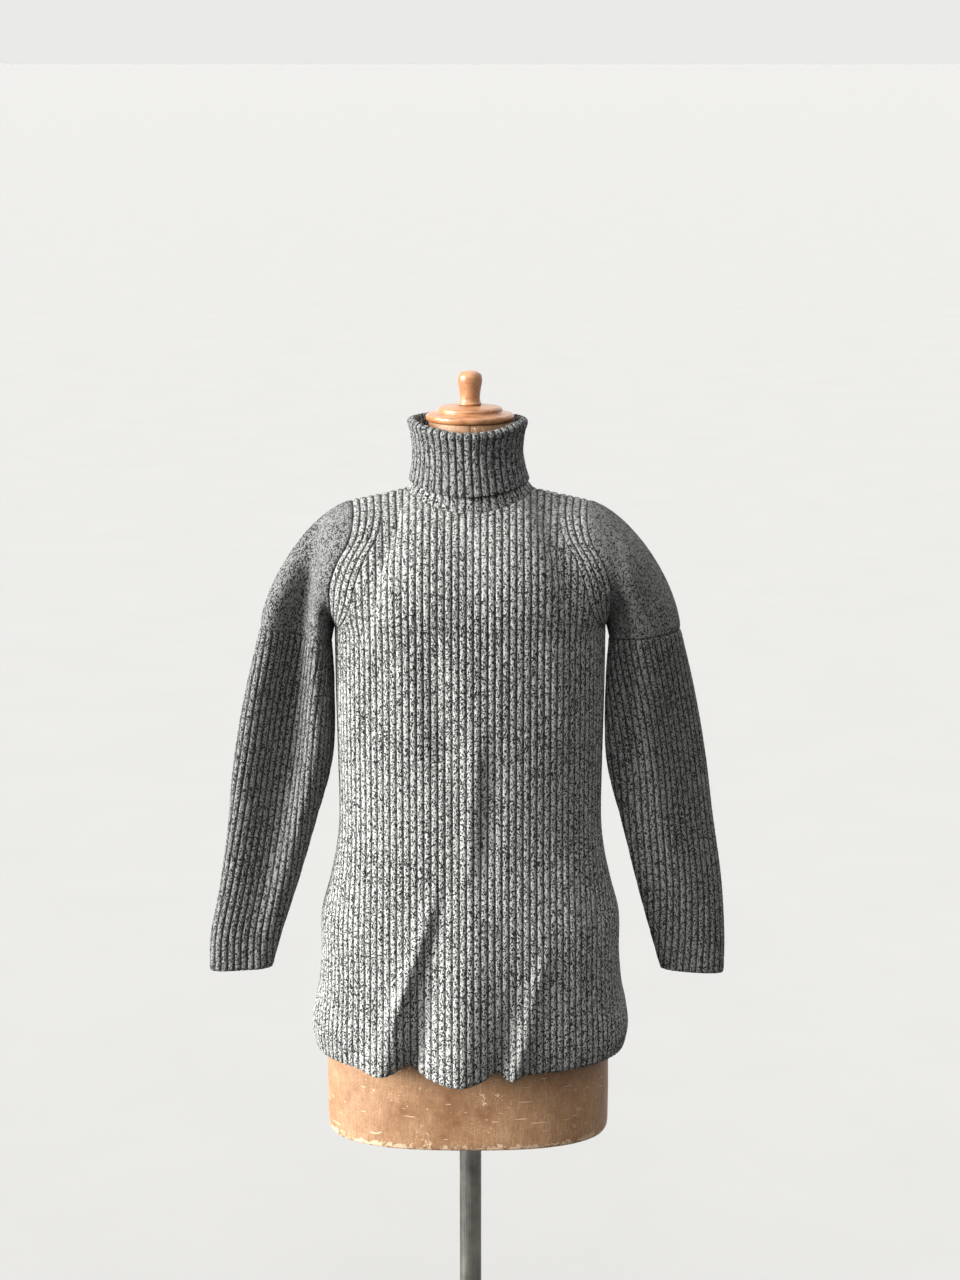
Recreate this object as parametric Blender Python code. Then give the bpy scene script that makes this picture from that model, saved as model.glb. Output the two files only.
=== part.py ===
"""Ribbed turtleneck sweater on a limbless dress form and its stand.

Metres, +Z up, the front faces -Y and the stand's pole is on the Z axis.
"""

from math import asin, pi, radians, sin

import bmesh
import bpy
import numpy as np

# Cloth
WALL = 0.0020  # plain inside to the bottom of a groove
RIB_HEIGHT = 0.0012
BODY_RIB_PITCH = 0.00875
SLEEVE_RIB_PITCH = 0.0083
COLLAR_RIBS = 46
EDGE_RIBS = 4  # ribs that run along each armhole
SEAM_GAP = 0.0003
NECK_GAP = 0.0008  # the neck seam is curved, so its two edges need more
CROSS_GAP = 0.0006  # the sleeves' crosswise seam slopes, so it needs more too
INNER_STEP = 3  # half ribs between two columns of the plain inside

# Seams of the body
NECK_HALF = 9 * BODY_RIB_PITCH
SHOULDER_HALF = 0.146
SHOULDER_POINT_Z = 1.339
NECK_SIDE_Z = 1.354
SECTION_POWER = 2.3

TORSO_COLUMNS = ("name", "height", "half_width", "front", "back")
TORSO = (
    ("hem", 0.640, 0.1965, 0.142, 0.138),
    ("hem_flare", 0.665, 0.2010, 0.143, 0.138),
    ("seat", 0.692, 0.1980, 0.142, 0.137),
    ("seat_top", 0.722, 0.1920, 0.140, 0.136),
    ("hip", 0.765, 0.1885, 0.136, 0.134),
    ("hip_top", 0.811, 0.1880, 0.130, 0.130),
    ("flank", 0.851, 0.1780, 0.123, 0.123),
    ("waist_low", 0.890, 0.1695, 0.117, 0.114),
    ("waist", 0.935, 0.1645, 0.113, 0.105),
    ("waist_high", 1.005, 0.1650, 0.113, 0.099),
    ("chest", 1.095, 0.1670, 0.118, 0.100),
    ("underarm", 1.185, 0.1680, 0.122, 0.104),
)

# Rows run from the underarm up, y towards the panel's own side
ARMHOLE_COLUMNS = ("name", "x", "front_y", "back_y", "z")
ARMHOLE = (
    ("underarm", 0.1680, 0.000, 0.000, 1.185),
    ("curve", 0.1695, 0.028, 0.028, 1.193),
    ("low", 0.1720, 0.050, 0.050, 1.213),
    ("middle", 0.1720, 0.064, 0.063, 1.241),
    ("high", 0.1630, 0.068, 0.067, 1.270),
    ("inset", 0.1480, 0.060, 0.060, 1.298),
    ("yoke", 0.1435, 0.036, 0.036, 1.323),
    ("shoulder", SHOULDER_HALF, 0.000, 0.000, SHOULDER_POINT_Z),
)
CENTRE_LINES = {
    "front": ((0.122, 1.185), (0.1215, 1.225), (0.113, 1.263), (0.096, 1.299), (0.074, 1.3335)),
    "back": ((0.104, 1.185), (0.106, 1.228), (0.102, 1.272), (0.088, 1.314), (0.062, 1.350)),
}

# Folds of the front, from the hem up to where they fade
FOLD_COLUMNS = ("name", "hem_x", "top_x", "top_z", "half_width", "outward")
FRONT_FOLDS = (
    ("left_crest", -0.115, -0.048, 0.830, 0.020, 0.016),
    ("left_valley", -0.075, -0.032, 0.830, 0.015, -0.024),
    ("middle_crest", -0.014, -0.004, 0.900, 0.036, 0.030),
    ("right_valley", 0.031, 0.062, 0.780, 0.010, -0.013),
    ("right_crest", 0.053, 0.092, 0.740, 0.010, 0.014),
)
HEM_DROP = 0.19  # a crest at the hem hangs lower by this share of its depth
HEM_DROP_REACH = 0.08

# Sleeves, level by level from the crosswise seam to the cuff; x away from the body
SLEEVE_COLUMNS = (
    "name", "outer_z", "inner_z", "outer_x", "inner_x", "mid_y", "front", "back", "turn", "valley",
)
SLEEVES = {
    "left": (
        ("crosswise_seam", 1.1840, 1.1630, 0.2600, 0.1735, -0.004, 0.044, 0.040, 9, 0.032),
        ("elbow_high", 1.0920, 1.0900, 0.2820, 0.1725, -0.006, 0.036, 0.032, 11, 0.032),
        ("elbow", 1.0120, 1.0110, 0.2955, 0.1770, -0.010, 0.031, 0.027, 12, 0.029),
        ("forearm", 0.9340, 0.9340, 0.3035, 0.1940, -0.014, 0.028, 0.024, 12, 0.019),
        ("forearm_low", 0.8560, 0.8560, 0.3145, 0.2170, -0.018, 0.025, 0.021, 10, 0.010),
        ("wrist", 0.7890, 0.7910, 0.3275, 0.2380, -0.021, 0.021, 0.018, 8, 0.004),
        ("cuff", 0.7420, 0.7445, 0.3300, 0.2510, -0.023, 0.018, 0.016, 6, 0.002),
    ),
    "right": (
        ("crosswise_seam", 1.1780, 1.1700, 0.2620, 0.1735, -0.002, 0.044, 0.040, -8, -0.006),
        ("elbow_high", 1.0920, 1.0920, 0.2825, 0.1725, 0.000, 0.034, 0.032, -17, -0.009),
        ("elbow", 1.0120, 1.0120, 0.2970, 0.1770, -0.002, 0.029, 0.027, -21, -0.009),
        ("forearm", 0.9340, 0.9340, 0.3070, 0.1930, -0.005, 0.027, 0.024, -20, -0.006),
        ("forearm_low", 0.8560, 0.8560, 0.3180, 0.2100, -0.010, 0.024, 0.021, -17, -0.003),
        ("wrist", 0.7870, 0.7900, 0.3225, 0.2280, -0.015, 0.021, 0.018, -12, 0.000),
        ("cuff", 0.7350, 0.7440, 0.3220, 0.2410, -0.018, 0.018, 0.016, -7, 0.000),
    ),
}

# A long fold on each front: its place, 1 at the outer edge and -1 at the inner one, its reach
# inward and outward, and the share of its depth that the crest beside it stands out
SLEEVE_FOLDS = {"left": (-0.12, 0.32, 0.76, 0.42), "right": (-0.15, 0.24, 0.50, 0.0)}
CREST_PLACE = -0.68
CREST_REACH = 0.30
HEAD_VALLEY = {"left": 0.030, "right": -0.008}  # the same fold, up on the sleeve head
HEAD_VALLEY_Z = (1.163, 1.21, 1.33)
HEAD_VALLEY_X = (0.2097, 0.206, 0.189)
HEAD_VALLEY_REACH = (0.012, 0.030)
HEAD_REACH = {"left": 0.136, "right": 0.132}  # how far the head's crown bulges
SLEEVE_POWER = 2.4

# Collar, round its closed profile from the neck seam up, over the rim and down the fold
COLLAR_COLUMNS = ("name", "half_width", "front", "back", "front_z", "side_z", "back_z", "ribbed")
COLLAR = (
    ("stand_low_out", 0.0715, 0.0672, 0.0590, 1.3480, 1.3640, 1.3640, True),
    ("stand_mid_out", 0.0632, 0.0592, 0.0560, 1.3720, 1.3800, 1.3810, False),
    ("stand_top_out", 0.0648, 0.0608, 0.0580, 1.4225, 1.4330, 1.4330, False),
    ("fold_top_in", 0.0690, 0.0650, 0.0620, 1.4225, 1.4340, 1.4340, False),
    ("fold_mid_in", 0.0655, 0.0615, 0.0585, 1.3950, 1.3990, 1.4000, False),
    ("fold_foot_in", 0.0712, 0.0690, 0.0640, 1.3550, 1.3690, 1.3710, False),
    ("fold_foot_out", 0.0736, 0.0712, 0.0662, 1.3545, 1.3685, 1.3705, True),
    ("fold_low_out", 0.0700, 0.0668, 0.0630, 1.3740, 1.3820, 1.3830, True),
    ("fold_mid_out", 0.0677, 0.0637, 0.0607, 1.3970, 1.4000, 1.4010, True),
    ("fold_high_out", 0.0700, 0.0658, 0.0628, 1.4160, 1.4230, 1.4230, True),
    ("rim_out", 0.0738, 0.0695, 0.0660, 1.4250, 1.4365, 1.4365, True),
    ("rim_top", 0.0705, 0.0660, 0.0630, 1.4298, 1.4412, 1.4412, True),
    ("rim_in", 0.0650, 0.0608, 0.0582, 1.4270, 1.4378, 1.4378, False),
    ("stand_in", 0.0610, 0.0570, 0.0545, 1.3950, 1.4000, 1.4000, False),
    ("stand_low_in", 0.0695, 0.0652, 0.0568, 1.3475, 1.3625, 1.3625, False),
)
COLLAR_LEAN = -0.003  # the collar's upper part sits a little to the left
COLLAR_LEAN_Z = (1.350, 1.400)

# Dress form
FORM_COLUMNS = ("name", "height", "half_width", "front", "back", "power")
FORM = (
    ("foot", 0.5300, 0.1745, 0.112, 0.107, 2.4),
    ("foot_round", 0.5330, 0.1765, 0.114, 0.109, 2.4),
    ("thigh", 0.6000, 0.1780, 0.115, 0.110, 2.4),
    ("seat", 0.7000, 0.1760, 0.115, 0.112, 2.3),
    ("hip", 0.8000, 0.1660, 0.111, 0.110, 2.2),
    ("hip_top", 0.8700, 0.1480, 0.102, 0.099, 2.2),
    ("waist", 0.9400, 0.1270, 0.091, 0.081, 2.1),
    ("ribcage", 1.0200, 0.1340, 0.097, 0.083, 2.1),
    ("chest", 1.1000, 0.1450, 0.107, 0.089, 2.2),
    ("bust", 1.1800, 0.1510, 0.111, 0.093, 2.2),
    ("upper_chest", 1.2400, 0.1515, 0.103, 0.093, 2.2),
    ("armpit", 1.2800, 0.1480, 0.086, 0.085, 2.1),
    ("shoulder_low", 1.3100, 0.1430, 0.062, 0.067, 2.0),
    ("shoulder", 1.3299, 0.1330, 0.054, 0.056, 1.4),
    ("shoulder_top", 1.3409, 0.1120, 0.0525, 0.051, 1.08),
    ("neck_root", 1.3494, 0.0800, 0.0520, 0.050, 1.15),
    ("neck_low", 1.3600, 0.0610, 0.052, 0.050, 1.8),
    ("neck", 1.3850, 0.0545, 0.052, 0.050, 2.0),
    ("neck_top", 1.4382, 0.0525, 0.0525, 0.0525, 2.0),
)
FORM_COLUMNS_ROUND = 36

# Cap and finial, as radius and height above the cap's seat
CAP_SEAT_Z = 1.4385
CAP_PROFILE = (
    ("under", 0.0520, 0.0000),
    ("rim_low", 0.0540, 0.0021),
    ("rim", 0.0545, 0.0052),
    ("rim_top", 0.0530, 0.0080),
    ("cove", 0.0455, 0.0096),
    ("step_low", 0.0400, 0.0110),
    ("step", 0.0395, 0.0148),
    ("step_top", 0.0360, 0.0170),
    ("dome", 0.0200, 0.0188),
)
FINIAL_PROFILE = (
    ("foot", 0.0130, 0.0000),
    ("foot_bead", 0.0140, 0.0018),
    ("neck", 0.0126, 0.0056),
    ("stem", 0.0125, 0.0120),
    ("swell", 0.0138, 0.0215),
    ("bulb", 0.0150, 0.0300),
    ("bulb_top", 0.0141, 0.0366),
    ("crown", 0.0092, 0.0406),
    ("tip", 0.0040, 0.0418),
)
TURNED_STEPS = 22

# Stand
POLE_RADIUS = 0.0140
BASE_RADIUS = 0.1900
BASE_THICKNESS = 0.0120
BASE_EDGE = 0.0025
SOCKET_RADIUS = 0.0230
SOCKET_TOP = 0.0420


def clear_scene():
    for obj in list(bpy.data.objects):
        bpy.data.objects.remove(obj, do_unlink=True)


def columns_of(table, names, wanted):
    """The wanted columns of a table as one array, a row for each level."""
    picks = [names.index(name) for name in wanted]
    return np.array([[row[i] for i in picks] for row in table], float)


def smooth_between(rows, position):
    """Rows read at a fractional place, along a Catmull-Rom curve through them."""
    rows = np.asarray(rows, float)
    last = len(rows) - 1
    position = min(max(position, 0.0), float(last))
    i = min(int(position), last - 1)
    u = position - i
    before = rows[i - 1] if i > 0 else 2 * rows[0] - rows[1]
    after = rows[i + 2] if i + 2 <= last else 2 * rows[last] - rows[last - 1]
    here, there = rows[i], rows[i + 1]
    slope_here, slope_there = (there - before) / 2, (after - here) / 2
    return (
        (2 * u**3 - 3 * u**2 + 1) * here
        + (u**3 - 2 * u**2 + u) * slope_here
        + (3 * u**2 - 2 * u**3) * there
        + (u**3 - u**2) * slope_there
    )


def unit(vectors):
    return vectors / np.maximum(np.linalg.norm(vectors, axis=-1, keepdims=True), 1e-12)


# Meshes: a row is (vertices, keys), and two rows are zipped along their keys


def zip_rows(bm, low, high):
    """Triangles between two rows, stepping along whichever key comes next."""
    (a, a_keys), (b, b_keys) = low, high
    i = j = 0
    while i < len(a) - 1 or j < len(b) - 1:
        step_a = j == len(b) - 1 or (i < len(a) - 1 and a_keys[i + 1] <= b_keys[j + 1])
        if step_a:
            corners = (a[i], a[i + 1], b[j])
            i += 1
        else:
            corners = (a[i], b[j + 1], b[j])
            j += 1
        if len(set(corners)) == 3:
            bm.faces.new(corners)


def add_row(bm, points, keys, closed=False):
    """Vertices of one row. A closed row ends on the vertex that it starts with."""
    verts = [bm.verts.new(point) for point in (points[:-1] if closed else points)]
    if closed:
        verts.append(verts[0])
    return verts, list(keys)


def finish(bm, name, material, smooth):
    bmesh.ops.recalc_face_normals(bm, faces=bm.faces)
    mesh = bpy.data.meshes.new(name)
    bm.to_mesh(mesh)
    bm.free()
    mesh.polygons.foreach_set("use_smooth", [smooth] * len(mesh.polygons))
    mesh.materials.append(material)
    obj = bpy.data.objects.new(name, mesh)
    bpy.context.scene.collection.objects.link(obj)
    return obj


def make_material(name, colour, roughness, metallic=0.0):
    material = bpy.data.materials.new(name)
    material.use_nodes = True
    shader = material.node_tree.nodes["Principled BSDF"]
    shader.inputs["Base Color"].default_value = (*colour, 1.0)
    shader.inputs["Roughness"].default_value = roughness
    shader.inputs["Metallic"].default_value = metallic
    return material


# Body panels: v runs 0 to 1 from the hem to the underarm, and on to 2 at the shoulder seam

TORSO_SIZES = {
    side: columns_of(TORSO, TORSO_COLUMNS, ("half_width", side, "height")) for side in ("front", "back")
}
ARMHOLE_SIZES = {
    side: columns_of(ARMHOLE, ARMHOLE_COLUMNS, ("x", side + "_y", "z")) for side in ("front", "back")
}
SIGN = {"front": -1.0, "back": 1.0}


def torso_curve(side, v):
    """Half of a level section, centre to side seam, as even steps of its length."""
    half_width, depth, height = smooth_between(TORSO_SIZES[side], v * (len(TORSO) - 1))
    angle = np.linspace(0.0, pi / 2, 61)
    x = half_width * np.sin(angle) ** (2 / SECTION_POWER)
    y = depth * np.cos(angle) ** (2 / SECTION_POWER)
    y[-1] = 0.0
    points = np.column_stack([x, y, np.full_like(x, height)])
    along = np.concatenate([[0.0], np.cumsum(np.linalg.norm(np.diff(points, axis=0), axis=1))])
    even = np.linspace(0.0, along[-1], 61)
    return np.column_stack([np.interp(even, along, points[:, k]) for k in range(3)])


def top_curve(side):
    """Neckline and shoulder seam, centre to shoulder point, as even steps of x."""
    x = np.linspace(0.0, SHOULDER_HALF, 61)
    depth, low_z = CENTRE_LINES[side][-1]
    turn = np.clip(x / NECK_HALF, 0.0, 1.0)
    y = depth * np.sqrt(1.0 - turn**2)
    neck_z = low_z + (NECK_SIDE_Z - low_z) * turn**2
    slope = (NECK_SIDE_Z - SHOULDER_POINT_Z) / (SHOULDER_HALF - NECK_HALF)
    z = np.where(x < NECK_HALF, neck_z, NECK_SIDE_Z - slope * (x - NECK_HALF))
    return np.column_stack([x, y, z])


def chest_curve(side, t):
    """Half a row above the underarm: a patch between underarm, armhole, centre and top."""
    low, top = torso_curve(side, 1.0), top_curve(side)
    f = np.linspace(0.0, 1.0, len(low))[:, None]
    depth, height = smooth_between(CENTRE_LINES[side], t * (len(CENTRE_LINES[side]) - 1))
    centre = np.array([0.0, depth, height])
    edge = smooth_between(ARMHOLE_SIZES[side], t * (len(ARMHOLE) - 1))
    g = f**1.25  # the edge's pull fades before the centre, which keeps the chest round
    corners = (1 - g) * (1 - t) * low[0] + g * (1 - t) * low[-1] + (1 - g) * t * top[0] + g * t * top[-1]
    return (1 - t) * low + t * top + (1 - g) * centre + g * edge - corners


def half_row(side, v):
    """A row's points from centre to edge, and the width that its ribs are counted along."""
    points = torso_curve(side, v) if v <= 1.0 else chest_curve(side, min(v - 1.0, 1.0))
    weight = 1.0 if v <= 1.0 else 1.0 - min(v - 1.0, 1.0)
    steps = np.diff(points, axis=0)
    width = np.concatenate([[0.0], np.cumsum(np.hypot(steps[:, 0], weight * np.hypot(steps[:, 1], steps[:, 2])))])
    return points, width


def fold_offset(x, z):
    """How far the front's folds push it out, for arrays of x and z."""
    total = np.zeros_like(x)
    hem = TORSO[0][1]
    for row in FRONT_FOLDS:
        fold = dict(zip(FOLD_COLUMNS, row))
        rise = np.clip((z - hem) / (fold["top_z"] - hem), 0.0, 1.0)
        middle = fold["hem_x"] + (fold["top_x"] - fold["hem_x"]) * rise
        total += fold["outward"] * (1.0 - rise) ** 1.3 * np.exp(-(((x - middle) / fold["half_width"]) ** 2))
    return total


def panel_points(side, v, places):
    """Points of a panel's row at signed distances from its centre line."""
    points, width = half_row(side, v)
    places = np.asarray(places, float)
    found = np.column_stack([np.interp(np.abs(places), width, points[:, k]) for k in range(3)])
    found[:, 0] *= np.sign(places)
    found[:, 1] = SIGN[side] * (found[:, 1] + SEAM_GAP / 2)
    if side == "front":
        push = fold_offset(found[:, 0], found[:, 2])
        found[:, 1] -= push
        near_hem = np.clip(1.0 - (found[:, 2] - TORSO[0][1]) / HEM_DROP_REACH, 0.0, 1.0)
        found[:, 2] -= HEM_DROP * push * near_hem
    return found


def panel_normals(side, v, places):
    """Outward normals of a row. On side and shoulder seams they keep to the seam's plane."""
    half = half_row(side, v)[1][-1]
    shares = np.asarray(places, float) / half
    step, rise = 0.002, 0.004
    across = panel_points(side, v, np.clip(shares + step, -1, 1) * half) - panel_points(
        side, v, np.clip(shares - step, -1, 1) * half
    )
    low, high = max(v - rise, 0.0), min(v + rise, 2.0)
    up = panel_points(side, high, shares * half_row(side, high)[1][-1]) - panel_points(
        side, low, shares * half_row(side, low)[1][-1]
    )
    normals = unit(np.cross(across, up) * -SIGN[side])
    on_side_seam = (np.abs(shares) > 0.9999) & (v <= 1.0)
    on_shoulder = (np.abs(places) > NECK_HALF - 1e-6) & (v >= 2.0)
    normals[on_side_seam | on_shoulder, 1] = 0.0
    return unit(normals)


def rib_places(half):
    """Signed places of a row's ridges and grooves, their zip keys and which are ridges."""
    half_rib = BODY_RIB_PITCH / 2
    edge_start = half - EDGE_RIBS * BODY_RIB_PITCH
    inner = [k for k in range(int(half / half_rib) + 1) if k * half_rib < edge_start - 0.4 * half_rib]
    right = [(k * half_rib, k * half_rib, k % 2 == 0) for k in inner]
    edge = range(2 * EDGE_RIBS, -1, -1)
    right += [(half - k * half_rib, 10.0 - k * half_rib, k % 2 == 1) for k in edge]
    left = [(-place, -key, ridge) for place, key, ridge in reversed(right[1:])]
    places, keys, ridges = zip(*(left + right))
    return np.array(places), np.array(keys), np.array(ridges)


def plain_places(half):
    """Signed places and zip keys of the plain inside's columns."""
    step = INNER_STEP * BODY_RIB_PITCH / 2
    count = int((half - 0.5 * step) / step)
    right = [(k * step, k * step) for k in range(count + 1)] + [(half, 10.0)]
    left = [(-place, -key) for place, key in reversed(right[1:])]
    places, keys = zip(*(left + right))
    return np.array(places), np.array(keys)


LOWER_LEVELS = (0, 1, 2, 3.5, 5, 6, 7, 8.2, 9.6, 11)  # rows of TORSO that a ring of points lies on
UPPER_ROWS = 6
PANEL_ROWS = [level / (len(TORSO) - 1) for level in LOWER_LEVELS]
PANEL_ROWS += [1 + (k + 1) / UPPER_ROWS for k in range(UPPER_ROWS)]


def make_panel(side, material):
    bm = bmesh.new()
    outer, inner = [], []
    for v in PANEL_ROWS:
        half = half_row(side, v)[1][-1]
        places, keys, ridges = rib_places(half)
        normals = panel_normals(side, v, places)
        raised = np.where(ridges, RIB_HEIGHT, 0.0)[:, None]
        outer.append(add_row(bm, panel_points(side, v, places) + normals * raised, keys))
        places, keys = plain_places(half)
        back = panel_points(side, v, places) - panel_normals(side, v, places) * WALL
        inner.append(add_row(bm, back, keys))
    for rows in (outer, inner):
        for low, high in zip(rows, rows[1:]):
            zip_rows(bm, low, high)
    for ends in (0, -1):
        zip_rows(bm, outer[ends], inner[ends])
        zip_rows(bm, column(outer, ends), column(inner, ends))
    return finish(bm, side + "_panel", material, smooth=False)


def column(rows, index):
    """One end of each row, as a row of its own."""
    return [verts[index] for verts, keys in rows], list(range(len(rows)))


# Sleeves: each ring starts at the inner seam, runs round the back and comes in at the front


def sleeve_ring(side, level, count=181):
    """Fine points of a level ring, from the inner seam round by the back, outside and front."""
    names = SLEEVE_COLUMNS[1:]
    sizes = dict(zip(names, smooth_between(columns_of(SLEEVES[side], SLEEVE_COLUMNS, names), level)))
    angle = np.linspace(-pi, pi, count)
    across = np.sign(np.cos(angle)) * np.abs(np.cos(angle)) ** (2 / SLEEVE_POWER)
    round_depth = np.abs(np.sin(angle)) ** (2 / SLEEVE_POWER)
    place, reach_in, reach_out, crest = SLEEVE_FOLDS[side]
    reach = np.where(across < place, reach_in, reach_out)
    dent = np.exp(-(((across - place) / reach) ** 2))
    dent = sizes["valley"] * (dent - crest * np.exp(-(((across - CREST_PLACE) / CREST_REACH) ** 2)))
    ahead = np.where(angle > 0, sizes["front"] * round_depth - dent * round_depth, -sizes["back"] * round_depth)
    half = (sizes["outer_x"] - sizes["inner_x"]) / 2
    x = (sizes["outer_x"] + sizes["inner_x"]) / 2 + half * across
    y = sizes["mid_y"] - ahead - half * across * sin(radians(sizes["turn"]))
    z = (sizes["outer_z"] + sizes["inner_z"]) / 2 + (sizes["outer_z"] - sizes["inner_z"]) / 2 * across
    mirror = -1.0 if side == "left" else 1.0
    return np.column_stack([mirror * x, y, z])


def ring_length(points):
    return np.concatenate([[0.0], np.cumsum(np.linalg.norm(np.diff(points, axis=0), axis=1))])


def ring_at(points, shares):
    """Points of a closed ring at shares of its length."""
    along = ring_length(points)
    return np.column_stack([np.interp(np.asarray(shares) * along[-1], along, points[:, k]) for k in range(3)])


def lower_sleeve_normals(side, level, shares, flat):
    """Outward normals of a ring. A flat ring keeps them level."""
    step, rise = 0.004, 0.03
    shares = np.asarray(shares, float)
    ring = sleeve_ring(side, level)
    around = ring_at(ring, (shares + step) % 1.0) - ring_at(ring, (shares - step) % 1.0)
    last = len(SLEEVES[side]) - 1
    low = ring_at(sleeve_ring(side, min(level + rise, last)), shares)
    high = ring_at(sleeve_ring(side, max(level - rise, 0.0)), shares)
    normals = np.cross(around, high - low) * (1.0 if side == "left" else -1.0)
    if flat:
        normals[:, 2] = 0.0
    return unit(normals)


INNER_SHARES = np.concatenate([np.linspace(0.0, 0.5, 8)[:-1], np.linspace(0.5, 1.0, 17)])


def make_sleeve_lower(side, material):
    bm = bmesh.new()
    outer, inner = [], []
    rows = 9
    for k in range(rows):
        level = k * (len(SLEEVES[side]) - 1) / (rows - 1)
        ring = sleeve_ring(side, level)
        length = ring_length(ring)[-1]
        half_rib = SLEEVE_RIB_PITCH / 2
        reach = int((length / 2 - 0.6 * half_rib) / half_rib)
        marks = [j for j in range(-reach, reach + 1)]
        places = np.array([-length / 2] + [j * half_rib for j in marks] + [length / 2])
        ridges = np.array([False] + [j % 2 == 0 for j in marks] + [False])
        shares = places / length + 0.5
        normals = lower_sleeve_normals(side, level, shares, flat=k == 0)
        drop = np.array([0.0, 0.0, CROSS_GAP / 2 if k == 0 else 0.0])
        raised = np.where(ridges, RIB_HEIGHT, 0.0)[:, None]
        outer.append(add_row(bm, ring_at(ring, shares) + normals * raised - drop, places, closed=True))
        shares = INNER_SHARES
        normals = lower_sleeve_normals(side, level, shares, flat=k == 0)
        points = ring_at(ring, shares) - normals * WALL - drop
        inner.append(add_row(bm, points, (shares - 0.5) * length, closed=True))
    for group in (outer, inner):
        for low, high in zip(group, group[1:]):
            zip_rows(bm, low, high)
    for ends in (0, -1):
        zip_rows(bm, outer[ends], inner[ends])
    return finish(bm, "sleeve_lower_" + side, material, smooth=False)


def armhole_ring(side):
    """Places on the armhole from underarm by the back, shoulder and front, with seam frames."""
    mirror = -1.0 if side == "left" else 1.0
    ts = [k / UPPER_ROWS for k in range(UPPER_ROWS + 1)]
    points, normals = [], []
    for panel, order in (("back", ts), ("front", ts[::-1][1:])):
        for t in order:
            half = half_row(panel, 1.0 + t)[1][-1]
            point = panel_points(panel, 1.0 + t, [mirror * half])[0]
            normal = panel_normals(panel, 1.0 + t, [mirror * half])[0]
            if t in (0.0, 1.0):
                point[1], normal[1] = 0.0, 0.0
            points.append(point)
            normals.append(unit(normal))
    points, normals = np.array(points), np.array(normals)
    along = np.roll(points[:-1], -1, axis=0) - np.roll(points[:-1], 1, axis=0)
    along = np.vstack([along, along[:1]])
    away = unit(np.cross(normals, along)) * mirror
    shares = np.array([t / 2 for t in ts] + [1 - t / 2 for t in ts[::-1][1:]])
    return points, normals, away, shares


def sleeve_head_points(side, shares, t, ring):
    """Points of the sleeve head between the armhole and the crosswise seam."""
    mirror = -1.0 if side == "left" else 1.0
    points, normals, away, places = ring
    shares = np.asarray(shares, float)
    start = np.column_stack([np.interp(shares, places, points[:, k]) for k in range(3)])
    leave = unit(np.column_stack([np.interp(shares, places, away[:, k]) for k in range(3)]))
    start = start + leave * SEAM_GAP
    end = ring_at(sleeve_ring(side, 0.0), shares) + np.array([0.0, 0.0, CROSS_GAP / 2])
    top = (0.5 - 0.5 * np.cos(2 * pi * shares))[:, None]
    outward = np.array([mirror, 0.0, -0.25])
    reach_start = 0.016 + HEAD_REACH[side] * top
    reach_end = 0.030 + 0.165 * top
    slope_start = unit(leave + 0.9 * np.minimum(1.0, 4 * top) * outward) * reach_start
    slope_end = np.array([mirror * 0.10, 0.0, -1.0]) * reach_end
    found = (
        (2 * t**3 - 3 * t**2 + 1) * start
        + (t**3 - 2 * t**2 + t) * slope_start
        + (3 * t**2 - 2 * t**3) * end
        + (t**3 - t**2) * slope_end
    )
    x = np.abs(found[:, 0])
    middle = np.interp(found[:, 2], HEAD_VALLEY_Z, HEAD_VALLEY_X)
    reach = np.where(x < middle, *HEAD_VALLEY_REACH)
    early = 1.0 - (1.0 - min(1.0, t / 0.45)) ** 2
    depth = HEAD_VALLEY[side] * max(0.0, early - (3 * t**2 - 2 * t**3))
    ahead = np.clip((-found[:, 1] + 0.002) / 0.03, 0.0, 1.0)
    found[:, 1] += depth * ahead * np.exp(-(((x - middle) / reach) ** 2))
    return found


def sleeve_head_normals(side, shares, t, ring):
    step, rise = 0.004, 0.01
    shares = np.asarray(shares, float)
    around = sleeve_head_points(side, (shares + step) % 1.0, t, ring) - sleeve_head_points(
        side, (shares - step) % 1.0, t, ring
    )
    low = sleeve_head_points(side, shares, min(t + rise, 1.0), ring)
    high = sleeve_head_points(side, shares, max(t - rise, 0.0), ring)
    normals = np.cross(around, high - low) * (1.0 if side == "left" else -1.0)
    if t >= 1.0:
        normals[:, 2] = 0.0
    return unit(normals)


SLEEVE_HEAD_STEPS = (0.0, 0.07, 0.2, 0.4, 0.6, 0.8, 1.0)


def make_sleeve_upper(side, material):
    bm = bmesh.new()
    ring = armhole_ring(side)
    outer, inner = [], []
    for t in SLEEVE_HEAD_STEPS:
        shares = ring[3] if t == 0.0 else np.linspace(0.0, 1.0, 25)
        points = sleeve_head_points(side, shares, t, ring)
        normals = ring[1] if t == 0.0 else sleeve_head_normals(side, shares, t, ring)
        outer.append(add_row(bm, points, shares, closed=True))
        inner.append(add_row(bm, points - normals * WALL, shares, closed=True))
    for group in (outer, inner):
        for low, high in zip(group, group[1:]):
            zip_rows(bm, low, high)
    for ends in (0, -1):
        zip_rows(bm, outer[ends], inner[ends])
    return finish(bm, "sleeve_upper_" + side, material, smooth=True)


# Collar


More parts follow.
